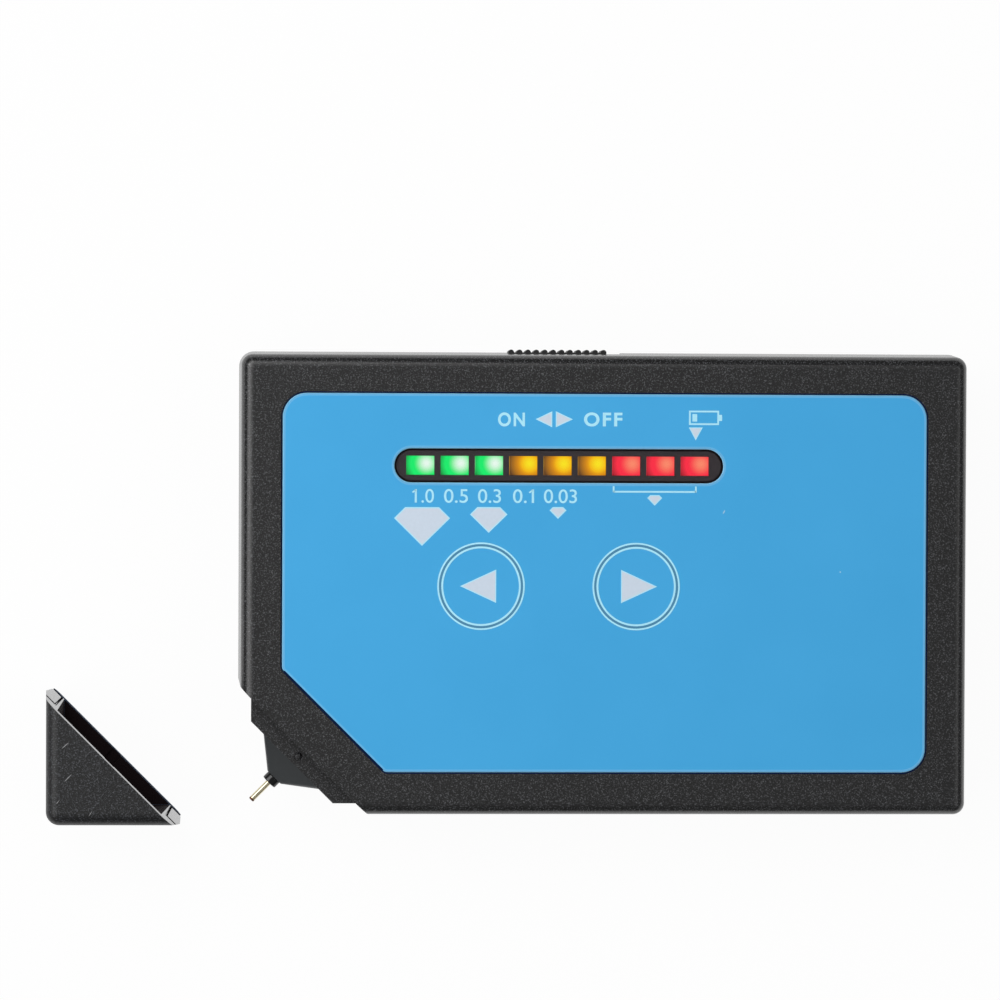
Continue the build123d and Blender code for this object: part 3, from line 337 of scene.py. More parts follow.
# %% Helpers for shaping
merge_distance = 0.001
flat_angle = 0.4
sharp_angle = 36


def work_on(piece):
    """Deselect everything, then make one piece active and selected."""
    bpy.ops.object.select_all(action="DESELECT")
    piece.select_set(True)
    bpy.context.view_layer.objects.active = piece


def body_of(node_name):
    """Name of the CAD body that carries a node."""
    bodies = frame["record"]["behaviour"]["bodies"]
    return next(body for body, names in bodies.items() if node_name in names)


def apply_modifier(piece, kind, **settings):
    """Add a modifier to a piece, set it and apply it."""
    work_on(piece)
    modifier = piece.modifiers.new(kind.lower(), kind)
    for name, value in settings.items():
        setattr(modifier, name, value)
    bpy.ops.object.modifier_apply(modifier=modifier.name)


def smooth(piece, angle=34):
    """Smooth the shading up to an angle and keep flat faces flat."""
    work_on(piece)
    bpy.ops.object.shade_smooth_by_angle(angle=radians(angle))
    apply_modifier(piece, "WEIGHTED_NORMAL", keep_sharp=True)


def refined(node_name, name, material, rounding, segments=2, edge=None, rides=True):
    """A clean copy of a CAD piece with its sharp edges rounded, in its place.

    It rides on the body of that piece, unless rides is false.
    """
    piece = bpy.data.objects.new(name, nodes[node_name].data.copy())
    bpy.context.collection.objects.link(piece)
    piece.data.materials.clear()
    piece.data.materials.append(material)
    if edge:
        piece.data.materials.append(edge)
    work_on(piece)
    bpy.ops.object.mode_set(mode="EDIT")
    bpy.ops.mesh.select_all(action="SELECT")
    bpy.ops.mesh.remove_doubles(threshold=merge_distance * MM)
    bpy.ops.mesh.dissolve_limited(angle_limit=radians(flat_angle))
    bpy.ops.object.mode_set(mode="OBJECT")
    apply_modifier(
        piece, "BEVEL", width=rounding * MM, segments=segments, limit_method="ANGLE",
        angle_limit=radians(sharp_angle), material=1 if edge else -1,
    )
    smooth(piece)
    if rides:
        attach(piece, body_of(node_name))
    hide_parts(node_name)
    print(name, "has", len(piece.data.polygons), "faces")
    return piece


def pick_faces(piece, chosen):
    """Go into edit mode with only the faces selected that a test chooses."""
    work_on(piece)
    bpy.ops.object.mode_set(mode="EDIT")
    bpy.ops.mesh.select_mode(type="FACE")
    bpy.ops.mesh.select_all(action="DESELECT")
    bpy.ops.object.mode_set(mode="OBJECT")
    for face in piece.data.polygons:
        face.select = chosen(face.center / MM, face.normal)
    bpy.ops.object.mode_set(mode="EDIT")


def paint_faces(piece, material, chosen):
    """Give another material to the faces that a test chooses by middle and normal, in mm."""
    piece.data.materials.append(material)
    slot = len(piece.data.materials) - 1
    painted = [f for f in piece.data.polygons if chosen(f.center / MM, f.normal)]
    for face in painted:
        face.material_index = slot
    print(piece.name, "shows", material.name, "on", len(painted), "faces")


print("edges sharper than", sharp_angle, "degrees get a radius")

# %% [markdown]
# ## The case
# The two halves meet at a parting line. Each gets its own small radius there, so a fine groove
# runs round the sides, as between two real mouldings. The battery cover is the same plastic.
# The floor of the panel's recess is painted dark blue, as painted shade in the gap round the
# film.

# %% Case halves and cover
front_shell = refined("front_shell", "front_case_half", abs_case, 0.14)
back_shell = refined("back_shell", "back_case_half", abs_case, 0.14)
battery_cover = refined("battery_cover", "battery_cover_plate", abs_case, 0.10)
film_low, film_high = (Vector(c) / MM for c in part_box("panel_film"))
recess_room = 0.3
below_film = 0.05
above_floor = 0.12


def on_recess_floor(middle, normal):
    """True for faces under the film and beside it, near the floor of its recess."""
    within = all(
        film_low[i] - recess_room < middle[i] < film_high[i] + recess_room for i in (0, 1)
    )
    level = film_low.z - below_film < middle.z < film_low.z + above_floor
    return within and level and normal.z > 0.2


paint_faces(front_shell, gap_painted_shade, on_recess_floor)

# %% [markdown]
# ## The cap
# The rim of the cap was cut, so it is glossy, as are the lands at its two ends, and their light
# grey colour is painted highlight. Its hollow is unlit and painted black as shade. The rim leans
# back by nearly two degrees, which turns it a little towards the camera above. Its foot stands
# in the shadow of the table and is painted a dull blue-grey as that shade, so a level cut through
# the mesh first parts the foot from the upper stretch.

# %% Cap with a glossy rim
cap = refined("probe_cap", "probe_cap_moulding", abs_cap, 0.12)
cap_low, cap_high = (Vector(c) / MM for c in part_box("probe_cap"))
rim_way = Vector((1, 1, 0)).normalized()
rim_foot = 1.6
rim_band = 0.8
hollow_depth = 4.0
hollow_middle = (cap_low + cap_high) / 2 - hollow_depth * rim_way
work_on(cap)
bpy.ops.object.mode_set(mode="EDIT")
bpy.ops.mesh.select_all(action="SELECT")
bpy.ops.mesh.bisect(plane_co=(0, 0, rim_foot * MM), plane_no=(0, 0, 1))
bpy.ops.object.mode_set(mode="OBJECT")
smooth(cap)
rim_reach = min(
    max(v.co.dot(rim_way) for v in cap.data.vertices if abs(v.co.z / MM - height) < 1)
    for height in (cap_low.z, cap_high.z)
) / MM


def on_rim(middle, normal):
    """True for faces of the rim and of its lands, above its foot."""
    facing = normal.dot(rim_way) > 0.9
    return facing and middle.z > rim_foot and middle.dot(rim_way) > rim_reach - rim_band


def in_hollow(middle, normal):
    """True for faces that look into the cap's hollow."""
    return normal.dot(hollow_middle - middle) > 0.5


def on_foot(middle, normal):
    """True for faces of the rim below its level cut."""
    return normal.dot(rim_way) > 0.5 and middle.z < rim_foot


# Painted shade in the hollow and on the foot, and a painted highlight on the rim.
paint_faces(cap, hollow_painted_shade, in_hollow)
paint_faces(cap, rim_gloss_painted_highlight, on_rim)
paint_faces(cap, foot_shade, on_foot)

# %% [markdown]
# ## The film panel and its keys
# The panel and the two discs over the keys are cut from one film, so they share its material.
# A narrow paler border along every edge is painted highlight, which an inset of the flat top
# gives.

# %% Film pieces
border_width = 0.28
panel = refined("panel_film", "blue_panel", film_material, 0.13, 1, film_edge_painted_highlight)


def on_film_face(middle, normal):
    """True for the faces of the film's flat top."""
    return normal.z > 0.99 and abs(middle.z - film_high.z) < 0.02


def on_cut_corner(middle, normal):
    """True for the sloping edge faces along the film's cut corner."""
    sloping = normal.x < -0.3 and normal.y < -0.3 and abs(normal.x - normal.y) < 0.05
    return sloping and middle.y < 0


def on_border(middle, normal):
    """True for the faces that the inset left outside its selected region."""
    return on_film_face(middle, normal) and middle.to_tuple(3) not in inner_middles


pick_faces(panel, on_film_face)
bpy.ops.mesh.inset(thickness=border_width * MM)
bpy.ops.object.mode_set(mode="OBJECT")
inner_middles = {(f.center / MM).to_tuple(3) for f in panel.data.polygons if f.select}
paint_faces(panel, film_border_painted_highlight, on_border)
# The sloping faces at the film's cut corner are painted dark blue as shade.
paint_faces(panel, gap_painted_shade, on_cut_corner)
smooth(panel)
left_pad = refined("left_key_film", "left_key_pad", film_material, 0.04)
right_pad = refined("right_key_film", "right_key_pad", film_material, 0.04)

# %% [markdown]
# ## Printing ink
# Numbers, arrows and stones are printed in white ink that lets a little blue through. Each
# print is a very thin solid on the film, so that it is seen from every side without flicker.
# A stone or an arrow is printed in two passes: a pale fill and a bright line round it.

# %% Inks and sizes of a print
ink_grain = (0.5, 0.04, 0.52)
line_ink = plain_finish("screen_ink_bright_line", "#B0ECFF", *ink_grain, Specular_IOR_Level=0.25)
fill_ink = plain_finish("screen_ink_white_fill", "#D0DDEC", *ink_grain, Specular_IOR_Level=0.25)
groove_ink = plain_finish("screen_ink_grey_blue", "#4A8AB0", *ink_grain, Specular_IOR_Level=0.25)
print_thickness = 0.02
seam_width = 0.0005
bar_corner = 0.06
film_top = film_high.z
print("prints lie at", round(film_top, 3), "mm")

# %% Helpers for prints


def finish_print(piece, material, body="case"):
    """Merge a print's seams, turn its faces outwards and give it its ink and its body."""
    work_on(piece)
    bpy.ops.object.mode_set(mode="EDIT")
    bpy.ops.mesh.select_all(action="SELECT")
    bpy.ops.mesh.remove_doubles(threshold=seam_width * MM)
    bpy.ops.mesh.normals_make_consistent(inside=False)
    bpy.ops.object.mode_set(mode="OBJECT")
    if not piece.data.materials:
        piece.data.materials.append(material)
    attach(piece, body)
    return piece


def place_print(piece, material, body="case"):
    """Give a flat mesh its thickness on the film, its ink and its body."""
    work_on(piece)
    bpy.ops.object.transform_apply(location=True, rotation=True, scale=True)
    bpy.ops.object.mode_set(mode="EDIT")
    bpy.ops.mesh.select_all(action="SELECT")
    bpy.ops.mesh.extrude_region_move(
        TRANSFORM_OT_translate={"value": (0, 0, print_thickness * MM)}
    )
    bpy.ops.object.mode_set(mode="OBJECT")
    return finish_print(piece, material, body)


def flat_plate(name, centre, size, turn=0.0):
    """A flat rectangle on the film, as the start of a print."""
    bpy.ops.object.select_all(action="DESELECT")
    bpy.ops.mesh.primitive_plane_add(size=MM, location=(*[c * MM for c in centre], film_top * MM))
    piece = bpy.context.object
    piece.name = name
    piece.scale = (*size, 1)
    piece.rotation_euler.z = radians(turn)
    bpy.ops.object.transform_apply(location=True, rotation=True, scale=True)
    return piece


def bar(name, centre, size, turn=0.0):
    """A plain printed bar with its corners cut a little."""
    piece = flat_plate(name, centre, size, turn)
    bpy.ops.object.mode_set(mode="EDIT")
    bpy.ops.mesh.select_all(action="SELECT")
    bpy.ops.mesh.bevel(offset=bar_corner * MM, segments=2, affect="VERTICES")
    bpy.ops.object.mode_set(mode="OBJECT")
    return place_print(piece, line_ink)


def cut_plate(name, centre, size, cuts, border, body="case"):
    """A rectangle trimmed by straight cuts, printed with a bright border."""
    piece = flat_plate(name, centre, size)
    piece.data.materials.append(line_ink)
    piece.data.materials.append(fill_ink)
    bpy.ops.object.mode_set(mode="EDIT")
    for point, away in cuts:
        bpy.ops.mesh.select_all(action="SELECT")
        spot = [(c + p * s / 2) * MM for c, p, s in zip(centre, point, size)]
        bpy.ops.mesh.bisect(
            plane_co=(*spot, film_top * MM), plane_no=(*away, 0), clear_outer=True
        )
    bpy.ops.mesh.select_all(action="SELECT")
    bpy.ops.mesh.inset(thickness=border * MM)
    piece.active_material_index = 1
    bpy.ops.object.material_slot_assign()
    bpy.ops.object.mode_set(mode="OBJECT")
    return place_print(piece, fill_ink, body)


def ring(name, centre, outer, line, material, corners=96):
    """A printed ring: a disc whose inner part is inset and deleted."""
    bpy.ops.object.select_all(action="DESELECT")
    bpy.ops.mesh.primitive_circle_add(
        vertices=corners, radius=outer * MM, fill_type="NGON",
        location=(*[c * MM for c in centre], film_top * MM),
    )
    piece = bpy.context.object
    piece.name = name
    bpy.ops.object.mode_set(mode="EDIT")
    bpy.ops.mesh.select_all(action="SELECT")
    bpy.ops.mesh.inset(thickness=line * MM)
    bpy.ops.mesh.delete(type="FACE")
    bpy.ops.object.mode_set(mode="OBJECT")
    return place_print(piece, material)


print("print helpers are ready")

# %% [markdown]
# ## Numbers and switch words
# The scale under the lights and the two switch positions are plain characters. They are set in
# the built-in type, whose strokes an offset makes bolder, and fitted to the size that they have
# on the panel. The type's 1 is a bare stem, so each 1 gets a short slanted bar for its flag.

# %% Characters


def lettering(words, centre, size, weight, spacing=1.0):
    """Plain characters, fitted to the width and height that they have on the panel."""
    bpy.ops.object.select_all(action="DESELECT")
    bpy.ops.object.text_add()
    piece = bpy.context.object
    piece.name = "print_" + words.replace(".", "_").lower()
    piece.data.body = words
    piece.data.offset = weight
    piece.data.space_character = spacing
    piece.data.extrude = 0.05  # any depth will do, because the fit below sets it
    bpy.ops.object.convert(target="MESH")
    corners = [Vector(c) for c in piece.bound_box]
    low = Vector(map(min, *corners))
    high = Vector(map(max, *corners))
    full_size = (*size, print_thickness)
    stretch = [s * MM / (h - l) for s, h, l in zip(full_size, high, low)]
    place = (*[c * MM for c in centre], (film_top + print_thickness / 2) * MM)
    piece.data.transform(
        Matrix.Translation(place)
        @ Matrix.Diagonal((*stretch, 1))
        @ Matrix.Translation(-(low + high) / 2)
    )
    return finish_print(piece, line_ink)


word_weight = 0.030
word_spacing = 1.22
lettering("ON", (-13.75, 24.11), (3.92, 2.05), word_weight, word_spacing)
lettering("OFF", (-0.39, 24.16), (5.60, 2.06), word_weight, word_spacing)
number_y = 12.96
number_height = 2.02
number_weight = 0.006
flag_room = 0.40
flag_size = (0.62, 0.24)
flag_turn = 38
scale_numbers = [
    ("1.0", -26.57, 3.20), ("0.5", -21.77, 3.49), ("0.3", -16.90, 3.35),
    ("0.1", -11.95, 3.07), ("0.03", -6.57, 4.82),
]
for words, x, width in scale_numbers:
    room = flag_room if words.startswith("1") else 0
    lettering(words, (x + room / 2, number_y), (width - room, number_height), number_weight)
flag_drop = 0.33
flag_shift = 0.08
flag_y = number_y + number_height / 2 - flag_drop
stem_width = 0.38
first_stem = scale_numbers[0][1] - scale_numbers[0][2] / 2 + flag_room
second_stem = scale_numbers[3][1] + scale_numbers[3][2] / 2 - stem_width
for name, stem in (("print_flag_1_0", first_stem), ("print_flag_0_1", second_stem)):
    bar(name, (stem - flag_shift, flag_y), flag_size, flag_turn)
print(len(scale_numbers), "numbers on the scale")

# %% [markdown]
# ## Stones and arrows
# Every figure is a rectangle that straight cuts trim to shape. A cut is a point, as a share of
# the half width and half height, and the direction that is cut away.

# %% Stones, arrows and rings
stone_cuts = [
    ((0.606, 1), (1, 1.16)), ((-0.606, 1), (-1, 1.16)),
    ((0, -1), (1, -1.01)), ((0, -1), (-1, -1.01)),
]
stone_border = 0.16
stones = {
    "large": ((-26.69, 8.50), (8.15, 5.64)),
    "medium": ((-17.00, 9.48), (5.47, 3.76)),
    "small": ((-6.92, 10.53), (2.48, 1.74)),
}
for name, (centre, size) in stones.items():
    cut_plate(f"print_stone_{name}", centre, size, stone_cuts, stone_border)


def arrow(name, centre, size, way, body="case"):
    """A triangle that points left for -1 or right for 1."""
    slope = size[1] / 2 / size[0]
    cuts = [((way, 0), (way * slope, 1)), ((way, 0), (way * slope, -1))]
    return cut_plate(name, centre, size, cuts, arrow_border, body)


arrow_border = 0.14
arrow("print_arrow_on", (-9.03, 24.16), (2.43, 2.35), -1)
arrow("print_arrow_off", (-6.05, 24.16), (2.50, 2.35), 1)
down_cuts = [((0, -1), (1, -0.525)), ((0, -1), (-1, -0.525))]
low_arrow_border = 0.12
cut_plate("print_arrow_low", (13.12, 22.11), (2.04, 1.90), down_cuts, low_arrow_border)
arrow_shift = 0.43
key_arrow = (5.27, 4.87)
ring_radius = 6.37
ring_lines = [("outer", 0.24, line_ink), ("groove", 0.34, groove_ink), ("inner", 0.28, line_ink)]
for side, way in (("left", -1), ("right", 1)):
    low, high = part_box(f"{side}_key_film")
    centre = [(low[i] + high[i]) / 2 / MM for i in (0, 1)]
    arrow_place = (centre[0] + way * arrow_shift, centre[1])
    arrow(f"print_arrow_{side}_key", arrow_place, key_arrow, way, f"{side}_key")
    radius = ring_radius
    for name, line, ink in ring_lines:
        ring(f"print_ring_{side}_{name}", centre, radius, line, ink)
        radius -= line
print("stones, arrows and rings are printed")

# %% [markdown]
# ## Battery mark and result bracket
# A plain battery outline stands over the warning light, and a bracket with a small stone marks
# the lights that mean a positive result. Both are generic signs.

# %% Battery outline and bracket
battery_centre = (14.32, 24.46)
battery_size = (4.4, 2.1)
half_battery = battery_size[0] / 2
stroke = 0.26
outline = flat_plate("print_battery", battery_centre, battery_size)
bpy.ops.object.mode_set(mode="EDIT")
bpy.ops.mesh.select_all(action="SELECT")
bpy.ops.mesh.inset(thickness=stroke * MM)
bpy.ops.mesh.delete(type="FACE")
bpy.ops.object.mode_set(mode="OBJECT")
place_print(outline, line_ink)
nub_size = (0.44, 0.9)
charge_size = (0.7, 1.1)
charge_gap = 0.24
nub_x = battery_centre[0] + half_battery + nub_size[0] / 2
charge_x = battery_centre[0] - half_battery + stroke + charge_gap + charge_size[0] / 2
bar("print_battery_nub", (nub_x, battery_centre[1]), nub_size)
bar("print_battery_charge", (charge_x, battery_centre[1]), charge_size)

bracket_span = (1.17, 13.17)
bracket_y = 13.66
bracket_middle = sum(bracket_span) / 2
leg_length = 0.9
leg_rise = 0.35
bracket_stone = (2.2, 1.55)
bracket_stone_border = 0.14
bracket_stone_y = 12.41
bar("print_bracket", (bracket_middle, bracket_y), (bracket_span[1] - bracket_span[0], stroke))
for end, name in zip(bracket_span, ("left", "right")):
    bar(f"print_bracket_{name}", (end, bracket_y + leg_rise), (stroke, leg_length))
cut_plate(
    "print_bracket_stone", (bracket_middle, bracket_stone_y), bracket_stone, stone_cuts,
    bracket_stone_border,
)
print("battery mark and bracket are printed")

# %% [markdown]
# ## The lit row
# Each light is a block of tinted epoxy. It shines unevenly: a hot spot up and to the right,
# where the chip sits, and a dimmer left side, where the black bar's shade is painted into the
# glow. The pattern repeats with the row's pitch, so it is drawn once from the place inside one
# step of the row.

# %% Light materials
light_low, light_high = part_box("led_green_1")
next_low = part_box("led_green_2")[0]
pitch = next_low.x - light_low.x
light_width = light_high.x - light_low.x
light_height = light_high.y - light_low.y
light_shape = light_width / light_height
hot_spot = (0.72 * light_shape, 0.62, 0)
glow_reach = 0.70
light_strength = 1.2


def lit_epoxy(name, hot, full, dim, dim_from, dim_to):
    """Tinted epoxy lit from inside, brightest at the hot spot, with painted shade far from it."""
    material, tree, shader, place = new_material(
        name, "#0E0E0E", Roughness=0.25, Specular_IOR_Level=0.1
    )
    parts = add_node(tree, "ShaderNodeSeparateXYZ", links={"Vector": place})
    step = add_node(
        tree, "ShaderNodeMath", {1: light_low.x}, {0: parts.outputs["X"]}, operation="SUBTRACT",
    ).outputs[0]
    within = add_node(
        tree, "ShaderNodeMath", {1: pitch}, {0: step}, operation="MODULO",
    ).outputs[0]
    across = add_node(
        tree, "ShaderNodeMapRange", {"From Max": light_width, "To Max": light_shape},
        {"Value": within},
    ).outputs["Result"]
    upward = add_node(
        tree, "ShaderNodeMapRange",
        {"From Min": light_low.y, "From Max": light_high.y}, {"Value": parts.outputs["Y"]},
    ).outputs["Result"]
    local = add_node(
        tree, "ShaderNodeCombineXYZ", links={"X": across, "Y": upward},
    ).outputs["Vector"]
    away = add_node(
        tree, "ShaderNodeVectorMath", {1: hot_spot}, {0: local}, operation="DISTANCE",
    ).outputs["Value"]
    glow = add_node(
        tree, "ShaderNodeMapRange",
        {"From Min": glow_reach, "From Max": 0.0}, {"Value": away},
        interpolation_type="SMOOTHSTEP",
    ).outputs["Result"]
    warm = add_node(
        tree, "ShaderNodeMix", {MIX_A: linear(full), MIX_B: linear(hot)}, {"Factor": glow},
        data_type="RGBA",
    ).outputs[MIX_RESULT]
    # Painted shade: far from the hot spot the glow turns to the dim colour, as under the black
    # bar.
    shade = add_node(
        tree, "ShaderNodeMapRange", {"From Min": dim_from, "From Max": dim_to}, {"Value": away},
    ).outputs["Result"]
    shown = add_node(
        tree, "ShaderNodeMix", {MIX_B: linear(dim)}, {"Factor": shade, MIX_A: warm},
        data_type="RGBA",
    ).outputs[MIX_RESULT]
    tree.links.new(shown, shader.inputs["Emission Color"])
    shader.inputs["Emission Strength"].default_value = light_strength
    return material


# The last colour and the two reaches of each light give its painted shade.
light_materials = {
    "green": lit_epoxy("epoxy_lit_green", "#EEFFF4", "#14F06E", "#1A8A40", 0.84, 1.20),
    "amber": lit_epoxy("epoxy_lit_amber", "#FFE81C", "#F8A000", "#664422", 0.43, 1.10),
    "red": lit_epoxy("epoxy_lit_red", "#FF8C6C", "#FF2E46", "#981F2A", 0.82, 1.20),
}
for colour, material in light_materials.items():
    for number in (1, 2, 3):
        light = nodes[f"led_{colour}_{number}"]
        light.data.materials.clear()
        light.data.materials.append(material)
print("lights repeat every", round(pitch / MM, 2), "mm")

# %% [markdown]
# ## Smoked strip and black bar
# The strip over the lights is the same film, printed in a transparent smoke tint. It has to let
# the lights through and still show its own satin face, so it uses alpha rather than refraction.

# %% Strip and bar
smoke = plain_finish(
    "polycarbonate_film_smoked", "#30262A", 0.2, 0.06, 0.42, 0.004,
    Alpha=0.12, Specular_IOR_Level=0.1,
)
mask_plastic = plain_finish("abs_moulded_matte_black", "#332D31", 0.3, 0.1, 0.6, 0.01)
window = refined("led_window", "smoked_strip", smoke, 0.04)
nodes["led_mask"].data.materials.clear()
nodes["led_mask"].data.materials.append(mask_plastic)
print("strip and bar are finished")

# %% [markdown]
# ## Knob, nozzle and probe
# The ribbed knob is black ABS without the case's grain. The nozzle is smooth dark grey, the
# ring in its mouth is polished black with a full round edge, and the rod is plated a pale gold
# with a dark copper end. The CAD model already gives their forms, so each needs only a finish
# and a radius on its edges, the widest on the ring.

# %% Smaller outer pieces
knob_plastic = plain_finish("abs_moulded_smooth_black", "#151516", 0.4, 0.15, 0.45, 0.006)
nozzle_plastic = plain_finish("abs_moulded_dark_grey", "#303335", 0.5, 0.06, 0.42, 0.004)
polished = plain_finish("acetal_polished_black", "#0C0C0D", 1.0, 0.1, 0.14)
gold = plain_finish("brass_rod_gold_plated", "#DCD2B2", 0.12, 0.08, 0.26, 0.002, Metallic=1.0)
copper = plain_finish("copper_turned_worn", "#6E4E3E", 0.1, 0.15, 0.42, 0.003, Metallic=1.0)
power_knob = refined("power_knob", "ribbed_knob", knob_plastic, 0.08)
probe_nozzle = refined("probe_nozzle", "probe_nozzle_moulding", nozzle_plastic, 0.10)
probe_bushing = refined("probe_bushing", "probe_ring", polished, 0.28, 4)
probe_rod = refined("probe_rod", "probe_pin", gold, 0.02)
probe_tip = refined("probe_tip", "probe_point", copper, 0.03)

# %% [markdown]
# ## Screws
# The case screws sit deep in their counterbores. Their heads need a cross recess, which a
# boolean cut with two crossed bars gives, one cut for each head. The four screws share one
# mesh, so each head's middle is measured from the vertices in its own quarter of the case.

# %% Case screws with cross recesses
# Zinc plate is a cool light grey that mirrors softly.
zinc = plain_finish("steel_zinc_plated", "#B9BABD", 0.3, 0.08, 0.34, 0.003, Metallic=1.0)
case_screws = refined("case_screws", "case_screw_set", zinc, 0.08)
head_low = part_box("case_screws")[0].z
recess_length = 2.4
recess_width = 0.62
recess_depth = 0.9
quarters = {}
for vertex in nodes["case_screws"].data.vertices:
    quarters.setdefault((vertex.co.x > 0, vertex.co.y > 0), []).append(vertex.co)
head_middles = [
    [(min(s[i] for s in spots) + max(s[i] for s in spots)) / 2 for i in (0, 1)]
    for spots in quarters.values()
]
for x, y in head_middles:
    for turn in (45, 135):
        bpy.ops.object.select_all(action="DESELECT")
        bpy.ops.mesh.primitive_cube_add(size=MM, location=(x, y, head_low))
        cutter = bpy.context.object
        cutter.scale = (recess_length, recess_width, 2 * recess_depth)
        cutter.rotation_euler.z = radians(turn)
        apply_modifier(
            case_screws, "BOOLEAN", operation="DIFFERENCE", object=cutter, solver="EXACT"
        )
        bpy.data.objects.remove(cutter)
print("cut", len(head_middles), "cross recesses")

# %% [markdown]
# ## Inner pieces
# The pieces inside are seen only where the cover slides off or the model is taken apart, but
# each one still has its own finish, named for what it is made of.

# %% Finishes inside the case
# The nub end of a cell is the one that measures less than nub_limit across.
nub_limit = 6.0
end_slice = 0.1
band_length = 13.0
band_blur = 0.1
weave_pitch = 1.2


def cell_jacket(cell):
    """Printed jacket of a cell: dark, with a copper band at the end that has the nub."""
    material, tree, shader, place = new_material(
        f"jacket_printed_{cell}", "#23272B", Roughness=0.32, Metallic=0.3
    )
    low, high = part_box(cell)
    end_plane = high.x - end_slice * MM
    right_end = [v.co.y for v in nodes[cell].data.vertices if v.co.x > end_plane]
    nub_on_right = max(right_end) - min(right_end) < nub_limit * MM
    nub_end, inward = (high.x, -1) if nub_on_right else (low.x, 1)
    parts = add_node(tree, "ShaderNodeSeparateXYZ", links={"Vector": place})
    stripe = add_node(
        tree, "ShaderNodeMapRange",
        {
            "From Min": nub_end + inward * band_length * MM,
            "From Max": nub_end + inward * (band_length - band_blur) * MM,
        },
        {"Value": parts.outputs["X"]},
    ).outputs["Result"]
    printed = add_node(
        tree, "ShaderNodeMix", {MIX_A: linear("#23272B"), MIX_B: linear("#B98A3A")},
        {"Factor": stripe}, data_type="RGBA",
    ).outputs[MIX_RESULT]
    tree.links.new(printed, shader.inputs["Base Color"])
    return material


def board_laminate():
    """Glass laminate under green solder mask, with a faint weave."""
    material, tree, shader, place = new_material(
        "glass_laminate_solder_mask", "#1E6B35", Roughness=0.35
    )
    weave = add_node(
        tree, "ShaderNodeTexWave",
        {"Scale": 1 / (weave_pitch * MM), "Distortion": 0.4}, {"Vector": place},
    ).outputs["Fac"]
    tinted = add_node(
        tree, "ShaderNodeMix", {MIX_A: linear("#1A6130"), MIX_B: linear("#237A3E")},
        {"Factor": weave}, data_type="RGBA",
    ).outputs[MIX_RESULT]
    tree.links.new(tinted, shader.inputs["Base Color"])
    return material


# Nickel plate is a warm grey, and drawn aluminium a cooler one. Both mirror softly.
nickel = plain_finish("steel_nickel_plated", "#C9C5BA", 0.25, 0.06, 0.3, 0.003, Metallic=1.0)
aluminium = plain_finish("aluminium_drawn_can", "#CDD0D4", 0.2, 0.06, 0.3, Metallic=1.0)
# Moulded plastics have an even colour and a satin shine.
key_plastic = plain_finish("abs_moulded_natural", "#CFCFC8", 0.4, 0.04, 0.5, 0.004)
switch_plastic = plain_finish("nylon_moulded_black", "#1B1B1C", 0.3, 0.1, 0.5, 0.006)
nylon = plain_finish("nylon_moulded_cream", "#DED6C3", 0.4, 0.04, 0.5, 0.004)
# Sintered alumina is chalky, and the resin of a chip is matte with a fine filler.
ceramic = plain_finish("alumina_sintered", "#E4DFD2", 0.2, 0.05, 0.6, 0.006)
chip_resin = plain_finish("epoxy_resin_moulded_black", "#1D1D1E", 0.15, 0.12, 0.62, 0.006)
# The cover of a lead is smooth and a little shiny.
lead_cover = plain_finish("pvc_extruded_red", "#B3261E", 0.6, 0.06, 0.4)
finishes = [
    (nickel, [
        "battery_springs", "battery_bridge_plate", "battery_plus_plate", "battery_minus_plate",
        "slide_switch_body",
    ]),
    (zinc, ["board_screws"]),
    (key_plastic, ["left_key_cap", "right_key_cap"]),
    (switch_plastic, [
        "left_switch_body", "right_switch_body", "left_switch_stem", "right_switch_stem",
        "slide_switch_lever", "probe_holder",
    ]),
    (ceramic, ["probe_heater", "board_resistors"]),
    (chip_resin, ["controller_chip", "amplifier_chip", "buzzer"]),
    (aluminium, ["board_capacitors"]),
    (nylon, ["probe_connector", "probe_plug"]),
    (lead_cover, ["probe_leads", "battery_leads"]),
    (cell_jacket("battery_cell_1"), ["battery_cell_1"]),
    (cell_jacket("battery_cell_2"), ["battery_cell_2"]),
    (board_laminate(), ["circuit_board"]),
]
for material, names in finishes:
    for name in names:
        nodes[name].data.materials.clear()
        nodes[name].data.materials.append(material)
print(sum(len(names) for _, names in finishes), "inner pieces have finishes")

# %% [markdown]
# ## The probe's spring
# A pressed probe squeezes its spring against the holder in the case. Here the coil's copy rides
# on no body, and its place is baked into its mesh.

# %% Spring on no body
coil = refined("probe_spring", "probe_coil_spring", nickel, 0.01, 1, rides=False)
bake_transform(coil)

# %% [markdown]
# ## Floor
# The photograph has a white ground. The floor is white and, for the camera, mostly white light
# of its own, so it reads white and still takes a faint shadow of the object. In reflections it
# is white near the object and darker far away, as a sheet of paper on a table is.

# %% Floor
floor_width = 4
floor_drop = 0.02
white_reach = 0.11
dark_reach = 0.35
far_brightness = 0.3
camera_share = 0.955
bpy.ops.object.select_all(action="DESELECT")
bpy.ops.mesh.primitive_plane_add(size=floor_width, location=(0, 0, -floor_drop * MM))
floor = bpy.context.object
floor.name = "floor"
ground = bpy.data.materials.new("studio_floor_white")
ground.use_nodes = True
tree = ground.node_tree
tree.nodes.clear()
path = add_node(tree, "ShaderNodeLightPath")
place = add_node(tree, "ShaderNodeTexCoord").outputs["Object"]
reach = add_node(
    tree, "ShaderNodeVectorMath", links={0: place}, operation="LENGTH",
).outputs["Value"]
sheet = add_node(
    tree, "ShaderNodeMapRange",
    {
        "From Min": white_reach, "From Max": dark_reach,
        "To Min": 1.0, "To Max": far_brightness,
    },
    {"Value": reach},
).outputs["Result"]
brightness = add_node(
    tree, "ShaderNodeMath", links={0: sheet, 1: path.outputs["Is Camera Ray"]},
    operation="MAXIMUM",
).outputs[0]
